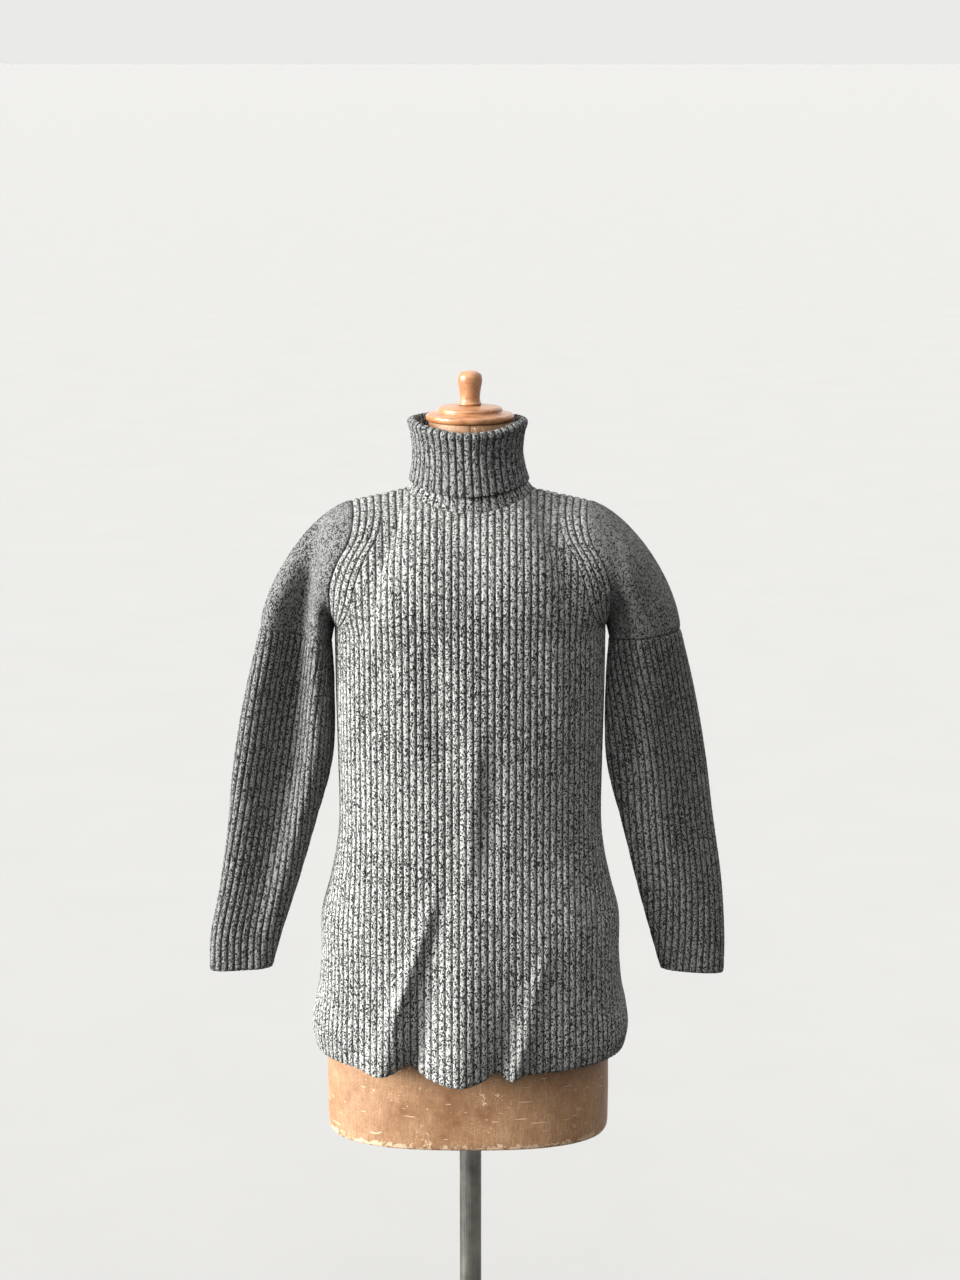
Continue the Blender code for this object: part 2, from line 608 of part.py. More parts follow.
def neck_seam(inside):
    """The panels' neckline, round from centre front, shifted off them by the seam gap."""
    step = BODY_RIB_PITCH / 2 * (INNER_STEP if inside else 1)
    count = round(NECK_HALF / step)
    found, turns = [], []
    for side, places, start, way in (
        ("front", [k * step for k in range(count + 1)], 0.0, 1),
        ("back", [k * step for k in range(count - 1, -count - 1, -1)], pi, -1),
        ("front", [k * step for k in range(-count + 1, 1)], 2 * pi, 1),
    ):
        turns += [start + way * asin(max(-1.0, min(1.0, place / NECK_HALF))) for place in places]
        points = panel_points(side, 2.0, places)
        normals = panel_normals(side, 2.0, places)
        sides = np.abs(np.abs(places) - NECK_HALF) < 1e-6
        points[sides, 1], normals[sides, 1] = 0.0, 0.0
        found.append(np.hstack([points, unit(normals)]))
    found = np.vstack(found)
    points, normals = found[:, :3], found[:, 3:]
    along = np.roll(points[:-1], -1, axis=0) - np.roll(points[:-1], 1, axis=0)
    along = np.vstack([along, along[:1]])
    away = unit(np.cross(normals, along))
    points = points + away * NECK_GAP - normals * (WALL if inside else 0.0)
    return points, np.array(turns) / (2 * pi)


def collar_ring(sizes, count, ribbed):
    """One ring of the collar, round from centre front."""
    turn = np.linspace(0.0, 2 * pi, count + 1)
    ahead = np.cos(turn) > 0
    depth = np.where(ahead, sizes["front"], sizes["back"])
    end_z = np.where(ahead, sizes["front_z"], sizes["back_z"])
    x, y = sizes["half_width"] * np.sin(turn), -depth * np.cos(turn)
    z = sizes["side_z"] + (end_z - sizes["side_z"]) * np.cos(turn) ** 2
    x = x + COLLAR_LEAN * np.interp(z, COLLAR_LEAN_Z, (0.0, 1.0))
    points = np.column_stack([x, y, z])
    if ribbed:
        outward = unit(np.column_stack([np.sin(turn) * depth, -np.cos(turn) * sizes["half_width"], 0 * x]))
        points += outward * np.where(np.arange(count + 1) % 2 == 0, RIB_HEIGHT, 0.0)[:, None]
    return points, turn / (2 * pi)


def make_collar(material):
    bm = bmesh.new()
    rings = [add_row(bm, *neck_seam(inside=False), closed=True)]
    for row in COLLAR:
        sizes = dict(zip(COLLAR_COLUMNS, row))
        count = 2 * COLLAR_RIBS if sizes["ribbed"] else 40
        rings.append(add_row(bm, *collar_ring(sizes, count, sizes["ribbed"]), closed=True))
    rings.append(add_row(bm, *neck_seam(inside=True), closed=True))
    for low, high in zip(rings, rings[1:] + rings[:1]):
        zip_rows(bm, low, high)
    return finish(bm, "collar", material, smooth=False)


# Form and stand


def close_ring(bm, row, centre):
    verts, keys = row
    middle = bm.verts.new(centre)
    for a, b in zip(verts, verts[1:]):
        bm.faces.new((a, b, middle))


def make_form(material):
    bm = bmesh.new()
    turn = np.linspace(0.0, 2 * pi, FORM_COLUMNS_ROUND + 1)
    rows = []
    for name, height, half_width, front, back, power in FORM:
        depth = np.where(np.cos(turn) > 0, front, back)
        x = half_width * np.sign(np.sin(turn)) * np.abs(np.sin(turn)) ** (2 / power)
        y = -depth * np.sign(np.cos(turn)) * np.abs(np.cos(turn)) ** (2 / power)
        rows.append(add_row(bm, np.column_stack([x, y, np.full_like(x, height)]), turn, closed=True))
    for low, high in zip(rows, rows[1:]):
        zip_rows(bm, low, high)
    close_ring(bm, rows[0], (0.0, 0.0, FORM[0][1]))
    close_ring(bm, rows[-1], (0.0, 0.0, FORM[-1][1]))
    return finish(bm, "form_torso", material, smooth=True)


def make_turned(name, profile, seat_z, material):
    """A turned piece: its radii at heights above its seat, closed flat at both ends."""
    bm = bmesh.new()
    turn = np.linspace(0.0, 2 * pi, TURNED_STEPS + 1)
    rows = []
    for label, radius, height in profile:
        ring = np.column_stack([radius * np.cos(turn), radius * np.sin(turn), np.full_like(turn, seat_z + height)])
        rows.append(add_row(bm, ring, turn, closed=True))
    for low, high in zip(rows, rows[1:]):
        zip_rows(bm, low, high)
    close_ring(bm, rows[0], (0.0, 0.0, seat_z + profile[0][2]))
    close_ring(bm, rows[-1], (0.0, 0.0, seat_z + profile[-1][2]))
    return finish(bm, name, material, smooth=True)


def make_stand(metal, iron):
    foot = FORM[0][1]
    base = (
        ("foot", BASE_RADIUS - BASE_EDGE, 0.0),
        ("edge_low", BASE_RADIUS, BASE_EDGE),
        ("edge_high", BASE_RADIUS, BASE_THICKNESS - BASE_EDGE),
        ("top", BASE_RADIUS - BASE_EDGE, BASE_THICKNESS),
        ("socket_foot", SOCKET_RADIUS + BASE_EDGE, BASE_THICKNESS + 0.0005),
        ("socket", SOCKET_RADIUS, BASE_THICKNESS + BASE_EDGE),
        ("socket_top", SOCKET_RADIUS - 0.002, SOCKET_TOP),
    )
    make_turned("base_plate", base, 0.0, iron)
    length = foot - 2 * SEAM_GAP - SOCKET_TOP
    pole = (("low", POLE_RADIUS, 0.0), ("high", POLE_RADIUS, length))
    make_turned("pole", pole, SOCKET_TOP + SEAM_GAP, metal)


def main():
    clear_scene()
    body_wool = make_material("grey_marl_wool", (0.105, 0.108, 0.105), 0.9)
    sleeve_wool = make_material("grey_marl_sleeve", (0.100, 0.103, 0.100), 0.9)
    collar_wool = make_material("grey_marl_collar", (0.110, 0.113, 0.110), 0.9)
    skin = make_material("aged_tan_form", (0.42, 0.20, 0.085), 0.55)
    wood = make_material("turned_wood", (0.45, 0.17, 0.05), 0.4)
    metal = make_material("grey_steel", (0.32, 0.32, 0.31), 0.4, 0.9)
    iron = make_material("dark_iron", (0.08, 0.08, 0.08), 0.5, 0.7)
    for side in ("front", "back"):
        make_panel(side, body_wool)
    for side in ("left", "right"):
        make_sleeve_upper(side, sleeve_wool)
        make_sleeve_lower(side, sleeve_wool)
    make_collar(collar_wool)
    make_form(skin)
    make_turned("neck_cap", CAP_PROFILE, CAP_SEAT_Z, wood)
    cap_top = CAP_SEAT_Z + CAP_PROFILE[-1][2]
    make_turned("finial", FINIAL_PROFILE, cap_top + SEAM_GAP, wood)
    make_stand(metal, iron)


main()
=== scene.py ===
"""Ribbed turtleneck sweater on its dress form and stand, dressed for a render.

Metres, +Z up, the front faces -Y and the stand's pole is on the Z axis.
"""

from math import asin, cos, pi, radians, sin

import bmesh
import bpy
import numpy as np
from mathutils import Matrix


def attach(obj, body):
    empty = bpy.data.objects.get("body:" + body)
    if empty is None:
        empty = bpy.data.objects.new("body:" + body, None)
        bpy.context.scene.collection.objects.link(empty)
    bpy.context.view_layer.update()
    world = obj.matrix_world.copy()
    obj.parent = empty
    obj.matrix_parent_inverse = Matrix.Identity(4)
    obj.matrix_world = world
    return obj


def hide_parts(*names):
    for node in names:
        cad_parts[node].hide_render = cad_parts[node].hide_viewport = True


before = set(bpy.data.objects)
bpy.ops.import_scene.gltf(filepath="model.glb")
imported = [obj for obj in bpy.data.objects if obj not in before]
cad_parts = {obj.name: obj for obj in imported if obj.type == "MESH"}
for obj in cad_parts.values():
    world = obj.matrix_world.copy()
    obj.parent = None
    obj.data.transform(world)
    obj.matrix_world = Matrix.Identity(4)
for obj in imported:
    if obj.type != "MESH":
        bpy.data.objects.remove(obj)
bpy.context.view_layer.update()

# Camera of the photograph
FOCAL_PIXELS = 2900.0
PICTURE_HEIGHT = 1280.0
SENSOR = 36.0
CAMERA_PLACE = (0.0123, -3.552, 1.885)
CAMERA_PITCH = 11.5

# Soft suns: way round from the front to the left, height and spread in degrees, strength, colour
SUNS = (
    ("window", 73.0, 13.0, 36.0, 12.2, (1.0, 0.99, 0.97)),
    ("sky", -10.0, 62.0, 90.0, 2.5, (1.0, 0.995, 0.985)),
    ("room", 45.0, 10.0, 170.0, 0.45, (1.0, 0.99, 0.98)),
    ("fill", -168.0, 36.0, 100.0, 1.3, (1.0, 0.99, 0.98)),
)
WORLD_COLOUR = (0.82, 0.82, 0.81, 1.0)
FLOOR_HALF = 400.0

# Cloth
INSIDE = 0.0019  # the plain inside lies this far in from the cut surface
RIB_CREST = 0.0010
RIB_GROOVE = 0.0010
BODY_RIB_PITCH = 0.00875
SLEEVE_RIB_PITCH = 0.0083
COLLAR_RIBS = 46
EDGE_RIBS = 4
RIB_COLUMNS = 6  # columns of points across a rib
STITCH_HEIGHT = 0.0034
STITCH_RELIEF = 0.00012
ROW_STEP = 0.0035  # cloth between two rows of a panel
INNER_EVERY = 3  # the plain inside has one row and column for this many outside
SWAY = 0.0012  # slow unevenness of the panels

# Seams of the body
NECK_HALF = 9 * BODY_RIB_PITCH
SHOULDER_HALF = 0.146
SHOULDER_POINT_Z = 1.339
NECK_SIDE_Z = 1.354
SECTION_POWER = 2.3

# Levels of the body: height, half width, front, back
TORSO = (
    (0.640, 0.1965, 0.142, 0.138),
    (0.665, 0.2010, 0.143, 0.138),
    (0.692, 0.1980, 0.142, 0.137),
    (0.722, 0.1920, 0.140, 0.136),
    (0.765, 0.1885, 0.136, 0.134),
    (0.811, 0.1880, 0.130, 0.130),
    (0.851, 0.1780, 0.123, 0.123),
    (0.890, 0.1695, 0.117, 0.114),
    (0.935, 0.1645, 0.113, 0.105),
    (1.005, 0.1650, 0.113, 0.099),
    (1.095, 0.1670, 0.118, 0.100),
    (1.185, 0.1680, 0.122, 0.104),
)
TORSO_ROWS = {
    "front": [(w, f, z) for z, w, f, b in TORSO],
    "back": [(w, b, z) for z, w, f, b in TORSO],
}

# Armhole from the underarm up: x, front y, back y, z
ARMHOLE = (
    (0.1680, 0.000, 0.000, 1.185),
    (0.1695, 0.028, 0.028, 1.193),
    (0.1720, 0.050, 0.050, 1.213),
    (0.1720, 0.064, 0.063, 1.241),
    (0.1630, 0.068, 0.067, 1.270),
    (0.1480, 0.060, 0.060, 1.298),
    (0.1435, 0.036, 0.036, 1.323),
    (SHOULDER_HALF, 0.000, 0.000, SHOULDER_POINT_Z),
)
ARMHOLE_ROWS = {
    "front": [(x, f, z) for x, f, b, z in ARMHOLE],
    "back": [(x, b, z) for x, f, b, z in ARMHOLE],
}
CENTRE_LINES = {
    "front": ((0.122, 1.185), (0.1215, 1.225), (0.113, 1.263), (0.096, 1.299), (0.074, 1.3335)),
    "back": ((0.104, 1.185), (0.106, 1.228), (0.102, 1.272), (0.088, 1.314), (0.062, 1.350)),
}
SIGN = {"front": -1.0, "back": 1.0}

# Folds from the hem up: x at the hem, x at the top, height of the top, half width, outward
FRONT_FOLDS = (
    (-0.115, -0.048, 0.830, 0.020, 0.016),
    (-0.075, -0.032, 0.830, 0.015, -0.024),
    (-0.014, -0.004, 0.900, 0.036, 0.030),
    (0.031, 0.062, 0.780, 0.010, -0.013),
    (0.053, 0.092, 0.740, 0.010, 0.014),
)
HEM_DROP = 0.19
HEM_DROP_REACH = 0.08

# Small soft folds of the front: two ends (x, z), half width, outward
SOFT_FOLDS = (
    ((-0.052, 1.175), (-0.030, 1.020), 0.020, -0.0065),
    ((0.006, 1.060), (-0.001, 0.880), 0.012, 0.0048),
    ((0.028, 1.050), (0.020, 0.900), 0.014, -0.0036),
    ((-0.046, 0.850), (-0.104, 0.690), 0.008, 0.0080),
    ((-0.030, 0.870), (-0.082, 0.700), 0.010, -0.0060),
    ((-0.100, 1.170), (-0.128, 1.060), 0.018, -0.0050),
    ((0.100, 1.190), (0.126, 1.040), 0.020, 0.0040),
    ((0.122, 0.900), (0.150, 0.760), 0.018, 0.0045),
    ((0.094, 0.790), (0.052, 0.650), 0.008, 0.0050),
)

# Sleeves: outer z, inner z, outer x, inner x, mid y, front, back, turn, valley
SLEEVES = {
    "left": (
        (1.1840, 1.1630, 0.2600, 0.1735, -0.004, 0.044, 0.040, 9, 0.032),
        (1.0920, 1.0900, 0.2820, 0.1705, -0.006, 0.036, 0.032, 11, 0.032),
        (1.0120, 1.0110, 0.2955, 0.1735, -0.010, 0.031, 0.027, 12, 0.029),
        (0.9340, 0.9340, 0.3035, 0.1940, -0.014, 0.028, 0.024, 12, 0.019),
        (0.8560, 0.8560, 0.3145, 0.2170, -0.018, 0.025, 0.021, 10, 0.010),
        (0.7890, 0.7910, 0.3275, 0.2380, -0.021, 0.021, 0.018, 8, 0.004),
        (0.7420, 0.7445, 0.3300, 0.2510, -0.023, 0.018, 0.016, 6, 0.002),
    ),
    "right": (
        (1.1780, 1.1700, 0.2620, 0.1735, -0.002, 0.044, 0.040, -8, -0.006),
        (1.0920, 1.0920, 0.2825, 0.1690, 0.000, 0.034, 0.032, -17, -0.009),
        (1.0120, 1.0120, 0.2970, 0.1710, -0.002, 0.029, 0.027, -21, -0.009),
        (0.9340, 0.9340, 0.3070, 0.1905, -0.005, 0.027, 0.024, -20, -0.006),
        (0.8560, 0.8560, 0.3180, 0.2100, -0.010, 0.024, 0.021, -17, -0.003),
        (0.7870, 0.7900, 0.3225, 0.2280, -0.015, 0.021, 0.018, -12, 0.000),
        (0.7350, 0.7440, 0.3220, 0.2410, -0.018, 0.018, 0.016, -7, 0.000),
    ),
}
# A fold along each front: its place, 1 at the outer fold and -1 at the inner one, its reach
# inward and outward, and the share of it that the crest beside it stands out
SLEEVE_FOLDS = {"left": (-0.12, 0.32, 0.76, 0.42), "right": (-0.15, 0.24, 0.50, 0.0)}
CREST_PLACE = -0.68
CREST_REACH = 0.30
HEAD_REACH = {"left": 0.126, "right": 0.132}
SLEEVE_POWER = 2.4
HEAD_VALLEY = {"left": 0.030, "right": -0.008}
HEAD_VALLEY_X = (0.2097, 0.206, 0.189)
HEAD_VALLEY_INNER = 0.012
HEAD_VALLEY_OUTER = 0.030

# Collar profile from the neck seam up, over the rim and down the fold:
# half width, front, back, front z, side z, back z
COLLAR_OUT = (
    (0.0722, 0.0678, 0.0595, 1.3440, 1.3620, 1.3620),
    (0.0672, 0.0632, 0.0582, 1.3580, 1.3720, 1.3725),
    (0.0632, 0.0592, 0.0560, 1.3760, 1.3840, 1.3850),
    (0.0648, 0.0608, 0.0580, 1.4225, 1.4330, 1.4330),
    (0.0690, 0.0650, 0.0620, 1.4225, 1.4340, 1.4340),
    (0.0655, 0.0615, 0.0585, 1.3950, 1.3990, 1.4000),
    (0.0716, 0.0692, 0.0642, 1.3565, 1.3675, 1.3705),
)
COLLAR_FOLD = (
    (0.0727, 0.0707, 0.0657, 1.3544, 1.3660, 1.3684),
    (0.0736, 0.0719, 0.0669, 1.3558, 1.3674, 1.3698),
    (0.0698, 0.0668, 0.0630, 1.3740, 1.3820, 1.3830),
    (0.0677, 0.0637, 0.0607, 1.3970, 1.4000, 1.4010),
    (0.0700, 0.0658, 0.0628, 1.4160, 1.4230, 1.4230),
    (0.0738, 0.0695, 0.0660, 1.4250, 1.4365, 1.4365),
    (0.0705, 0.0660, 0.0630, 1.4298, 1.4412, 1.4412),
    (0.0650, 0.0608, 0.0582, 1.4270, 1.4378, 1.4378),
    (0.0610, 0.0570, 0.0545, 1.3950, 1.4000, 1.4000),
    (0.0695, 0.0652, 0.0568, 1.3475, 1.3625, 1.3625),
)
COLLAR_LEAN = -0.003

# Dress form: height, half width, front, back, power
FORM_SWELL = 0.030
FORM = (
    (0.5300, 0.1735, 0.110, 0.105, 2.6),
    (0.5308, 0.1755, 0.1120, 0.1070, 2.6),
    (0.5330, 0.1768, 0.1135, 0.1085, 2.55),
    (0.5380, 0.1774, 0.1143, 0.1093, 2.5),
    (0.6000, 0.1780, 0.115, 0.110, 2.4),
    (0.7000, 0.1760, 0.115, 0.112, 2.3),
    (0.8000, 0.1660, 0.111, 0.110, 2.2),
    (0.8700, 0.1480, 0.102, 0.099, 2.2),
    (0.9400, 0.1270, 0.091, 0.081, 2.1),
    (1.0200, 0.1340, 0.097, 0.083, 2.1),
    (1.1000, 0.1450, 0.107, 0.089, 2.2),
    (1.1800, 0.1510, 0.111, 0.093, 2.2),
    (1.2400, 0.1515, 0.103, 0.093, 2.2),
    (1.2800, 0.1480, 0.086, 0.085, 2.1),
    (1.3100, 0.1430, 0.062, 0.067, 2.0),
    (1.3299, 0.1330, 0.054, 0.056, 1.4),
    (1.3409, 0.1120, 0.0525, 0.051, 1.08),
    (1.3494, 0.0800, 0.0520, 0.050, 1.15),
    (1.3600, 0.0610, 0.052, 0.050, 1.8),
    (1.3850, 0.0545, 0.052, 0.050, 2.0),
    (1.4290, 0.0525, 0.0525, 0.0525, 2.0),
    (1.4372, 0.0520, 0.0520, 0.0520, 2.0),
    (1.4382, 0.0510, 0.0510, 0.0510, 2.0),
)

# Turned pieces: radius and height above the seat
CAP_SEAT_Z = 1.4385
CAP_TOP = 0.0188
CAP_PROFILE = (
    (0.0500, 0.0000), (0.0520, 0.0002), (0.0533, 0.0010), (0.0541, 0.0024), (0.0545, 0.0043),
    (0.0543, 0.0062), (0.0534, 0.0076), (0.0520, 0.0084), (0.0480, 0.0090), (0.0450, 0.0095),
    (0.0425, 0.0101), (0.0405, 0.0108), (0.0398, 0.0116), (0.0399, 0.0134), (0.0393, 0.0151),
    (0.0378, 0.0163), (0.0350, 0.0171), (0.0280, 0.0181), (0.0200, CAP_TOP), (0.0100, CAP_TOP),
)
FINIAL_PROFILE = (
    (0.0124, 0.0000), (0.0136, 0.0003), (0.0140, 0.0012), (0.0139, 0.0024), (0.0132, 0.0036),
    (0.0126, 0.0056), (0.0124, 0.0085), (0.0125, 0.0125), (0.0130, 0.0170), (0.0138, 0.0215),
    (0.0146, 0.0260), (0.0150, 0.0300), (0.0149, 0.0335), (0.0140, 0.0368), (0.0120, 0.0393),
    (0.0088, 0.0409), (0.0052, 0.0416), (0.0018, 0.0418),
)
POLE_RADIUS = 0.0140
POLE_ROUND = 0.0006
BASE_RADIUS = 0.1900
SOCKET_TOP = 0.0420
SEAM_GAP = 0.0003


# Numbers


def blend(u, here, slope_here, there, slope_there):
    """A cubic curve between two points with given slopes."""
    return (
        (2 * u**3 - 3 * u**2 + 1) * here
        + (u**3 - 2 * u**2 + u) * slope_here
        + (3 * u**2 - 2 * u**3) * there
        + (u**3 - u**2) * slope_there
    )


def smooth_between(rows, position):
    """Rows read at a fractional place, along a Catmull-Rom curve through them."""
    rows = np.asarray(rows, float)
    last = len(rows) - 1
    position = min(max(position, 0.0), float(last))
    i = min(int(position), last - 1)
    u = position - i
    before = rows[i - 1] if i > 0 else 2 * rows[0] - rows[1]
    after = rows[i + 2] if i + 2 <= last else 2 * rows[last] - rows[last - 1]
    here, there = rows[i], rows[i + 1]
    slope_here, slope_there = (there - before) / 2, (after - here) / 2
    return blend(u, here, slope_here, there, slope_there)


def unit(vectors):
    return vectors / np.maximum(np.linalg.norm(vectors, axis=-1, keepdims=True), 1e-12)


def path_length(points):
    return np.concatenate([[0.0], np.cumsum(np.linalg.norm(np.diff(points, axis=0), axis=1))])


def read_at(places, keys, table):
    """Points of a table, read at places along its keys."""
    return np.column_stack([np.interp(places, keys, table[:, k]) for k in range(3)])


def along_path(points, places):
    """Points at distances along a path."""
    return read_at(places, path_length(points), points)


def ring_steps(points):
    """The way along a closed ring at each point; its last point is its first."""
    along = np.roll(points[:-1], -1, axis=0) - np.roll(points[:-1], 1, axis=0)
    return np.vstack([along, along[:1]])


def stitch_wave(height, wander):
    """The slight rise and fall of the stitches along the cloth."""
    return STITCH_RELIEF * np.sin(2 * pi * height / (2 * STITCH_HEIGHT) + wander)


def rib_height(phase):
    """Height of a rib over the cut surface; a whole phase is a crest, a half is a groove."""
    p = np.abs(phase - np.round(phase)) * 2.0
    return RIB_CREST - (RIB_CREST + RIB_GROOVE) * p**3.4


def drift(a, b, seed, size):
    """A slow, smooth wander made of a few waves, between -1 and 1."""
    total = 0.0
    for k in range(4):
        angle = seed * 1.7 + k * 2.4
        wave_a = a * cos(angle) / size * (1 + 0.4 * k)
        wave_b = b * sin(angle) / size * (1 + 0.3 * k)
        total = total + np.sin(wave_a + wave_b + seed * (k + 1))
    return total / 4.0


# Meshes


class Cloth:
    """Rows of points that are zipped along their keys into one closed shell."""

    def __init__(self):
        self.points, self.faces, self.corners = [], [], []
        self.count = 0

    def row(self, points, keys, across, along, closed=False):
        points = np.asarray(points, float)
        used = points[:-1] if closed else points
        index = list(range(self.count, self.count + len(used)))
        self.count += len(used)
        self.points.append(used)
        if closed:
            index.append(index[0])
        marks = [(float(a), float(b)) for a, b in zip(across, np.broadcast_to(along, len(points)))]
        return index, [float(k) for k in keys], marks

    def join(self, low, high):
        a, a_keys, a_marks = low
        b, b_keys, b_marks = high
        i = j = 0
        while i < len(a) - 1 or j < len(b) - 1:
            more_a, more_b = i < len(a) - 1, j < len(b) - 1
            if more_a and more_b and abs(a_keys[i + 1] - b_keys[j + 1]) < 1e-7:
                marks = (a_marks[i], a_marks[i + 1], b_marks[j + 1], b_marks[j])
                self.add((a[i], a[i + 1], b[j + 1], b[j]), marks)
                i, j = i + 1, j + 1
            elif not more_b or (more_a and a_keys[i + 1] < b_keys[j + 1]):
                self.add((a[i], a[i + 1], b[j]), (a_marks[i], a_marks[i + 1], b_marks[j]))
                i += 1
            else:
                self.add((a[i], b[j + 1], b[j]), (a_marks[i], b_marks[j + 1], b_marks[j]))
                j += 1

    def skin(self, rows):
        """Each row joined to the next one."""
        for low, high in zip(rows, rows[1:]):
            self.join(low, high)

    def tube(self, outer, inner):
        """A tube's two sides, and the edge at each end."""
        self.skin(outer)
        self.skin(inner)
        for end in (0, -1):
            self.join(outer[end], inner[end])

    def add(self, face, marks):
        if len(set(face)) == len(face):
            self.faces.append(face)
            self.corners.extend(marks)

    def column(self, rows, end):
        return [r[0][end] for r in rows], [float(k) for k in range(len(rows))], [r[2][end] for r in rows]

    def build(self, name, material):
        points = np.vstack(self.points)
        mesh = bpy.data.meshes.new(name)
        mesh.from_pydata(points.tolist(), [], self.faces)
        layer = mesh.uv_layers.new(name="cut")
        layer.data.foreach_set("uv", np.array(self.corners, float).ravel())
        mesh.materials.append(material)
        mesh.polygons.foreach_set("use_smooth", [True] * len(mesh.polygons))
        mesh.update()
        obj = show(name, mesh)
        turn_outward(obj)
        return obj


def show(name, data):
    obj = bpy.data.objects.new(name, data)
    bpy.context.scene.collection.objects.link(obj)
    return obj


def turn_outward(obj):
    """Faces of a closed mesh turned so that they all look outward."""
    bm = bmesh.new()
    bm.from_mesh(obj.data)
    bmesh.ops.recalc_face_normals(bm, faces=bm.faces)
    bm.to_mesh(obj.data)
    bm.free()


# Body panels: v runs 0 to 1 from the hem to the underarm, and on to 2 at the shoulder seam


def torso_curve(side, v):
    half_width, depth, height = smooth_between(TORSO_ROWS[side], v * (len(TORSO) - 1))
    angle = np.linspace(0.0, pi / 2, 161)
    x = half_width * np.sin(angle) ** (2 / SECTION_POWER)
    y = depth * np.cos(angle) ** (2 / SECTION_POWER)
    y[-1] = 0.0
    points = np.column_stack([x, y, np.full_like(x, height)])
    length = path_length(points)
    return along_path(points, np.linspace(0.0, length[-1], 161))


def top_curve(side):
    x = np.linspace(0.0, SHOULDER_HALF, 161)
    depth, low_z = CENTRE_LINES[side][-1]
    turn = np.clip(x / NECK_HALF, 0.0, 1.0)
    y = depth * np.sqrt(1.0 - turn**2)
    neck_z = low_z + (NECK_SIDE_Z - low_z) * turn**2
    slope = (NECK_SIDE_Z - SHOULDER_POINT_Z) / (SHOULDER_HALF - NECK_HALF)
    z = np.where(x < NECK_HALF, neck_z, NECK_SIDE_Z - slope * (x - NECK_HALF))
    return np.column_stack([x, y, z])


def half_row(side, v):
    """A row from centre to edge, and the width that its ribs are counted along."""
    key = (side, round(v, 6))
    if key in half_rows:
        return half_rows[key]
    if v <= 1.0:
        points, weight = torso_curve(side, v), 1.0
    else:
        t = min(v - 1.0, 1.0)
        low, top = torso_curve(side, 1.0), top_curve(side)
        f = np.linspace(0.0, 1.0, len(low))[:, None]
        depth, height = smooth_between(CENTRE_LINES[side], t * (len(CENTRE_LINES[side]) - 1))
        centre = np.array([0.0, depth, height])
        edge = smooth_between(ARMHOLE_ROWS[side], t * (len(ARMHOLE) - 1))
        g = f**1.25
        corners = (1 - g) * (1 - t) * low[0] + g * (1 - t) * low[-1]
        corners = corners + (1 - g) * t * top[0] + g * t * top[-1]
        points = (1 - t) * low + t * top + (1 - g) * centre + g * edge - corners
        weight = 1.0 - t
    steps = np.diff(points, axis=0)
    counted = np.hypot(steps[:, 0], weight * np.hypot(steps[:, 1], steps[:, 2]))
    width = np.concatenate([[0.0], np.cumsum(counted)])
    half_rows[key] = (points, width)
    return points, width


half_rows = {}


def fold_offset(x, z):
    total = np.zeros_like(x)
    hem = TORSO[0][0]
    for hem_x, top_x, top_z, half_width, outward in FRONT_FOLDS:
        rise = np.clip((z - hem) / (top_z - hem), 0.0, 1.0)
        middle = hem_x + (top_x - hem_x) * rise
        total += outward * (1.0 - rise) ** 1.3 * np.exp(-(((x - middle) / half_width) ** 2))
    return total


def soft_offset(x, z):
    """The small soft folds, each a long low swell between two ends."""
    total = np.zeros_like(x)
    for (ax, az), (bx, bz), half_width, outward in SOFT_FOLDS:
        length = np.hypot(bx - ax, bz - az)
        ux, uz = (bx - ax) / length, (bz - az) / length
        s = ((x - ax) * ux + (z - az) * uz) / length
        off = (x - ax) * uz - (z - az) * ux
        fade = np.exp(-((np.clip(np.abs(s - 0.5) - 0.3, 0.0, None) / 0.22) ** 2))
        total += outward * fade * np.exp(-((off / half_width) ** 2))
    return total


def panel_points(side, v, places):
    points, width = half_row(side, v)
    places = np.asarray(places, float)
    found = read_at(np.abs(places), width, points)
    found[:, 0] *= np.sign(places)
    edge = np.clip((width[-1] - np.abs(places)) / 0.03, 0.0, 1.0)
    top = 1.0 if v < 1.7 else max(0.0, (2.0 - v) / 0.3)
    found[:, 1] = SIGN[side] * (found[:, 1] + SEAM_GAP / 2)
    if side == "front":
        push = fold_offset(found[:, 0], found[:, 2])
        soft = soft_offset(found[:, 0], found[:, 2]) * edge * top
        found[:, 1] -= push + soft
        near_hem = np.clip(1.0 - (found[:, 2] - TORSO[0][0]) / HEM_DROP_REACH, 0.0, 1.0)
        found[:, 2] -= HEM_DROP * push * near_hem
    sway = 0.5 + 0.5 * drift(found[:, 0], found[:, 2], 3.0, 0.045)
    found[:, 1] += SIGN[side] * SWAY * edge * top * sway
    return found


def panel_normals(side, v, places):
    half = half_row(side, v)[1][-1]
    shares = np.asarray(places, float) / half
    step, rise = 0.006, 0.006
    across = panel_points(side, v, np.clip(shares + step, -1, 1) * half) - panel_points(
        side, v, np.clip(shares - step, -1, 1) * half
    )
    low, high = max(v - rise, 0.0), min(v + rise, 2.0)
    up = panel_points(side, high, shares * half_row(side, high)[1][-1]) - panel_points(
        side, low, shares * half_row(side, low)[1][-1]
    )
    normals = unit(np.cross(across, up) * -SIGN[side])
    near_side = np.clip((np.abs(shares) - 0.985) / 0.015, 0.0, 1.0) if v <= 1.0 else np.zeros_like(shares)
    near_top = max(0.0, (v - 1.97) / 0.03) * (np.abs(places) > NECK_HALF - 1e-6)
    normals[:, 1] *= 1.0 - np.maximum(near_side, near_top)
    return unit(normals)


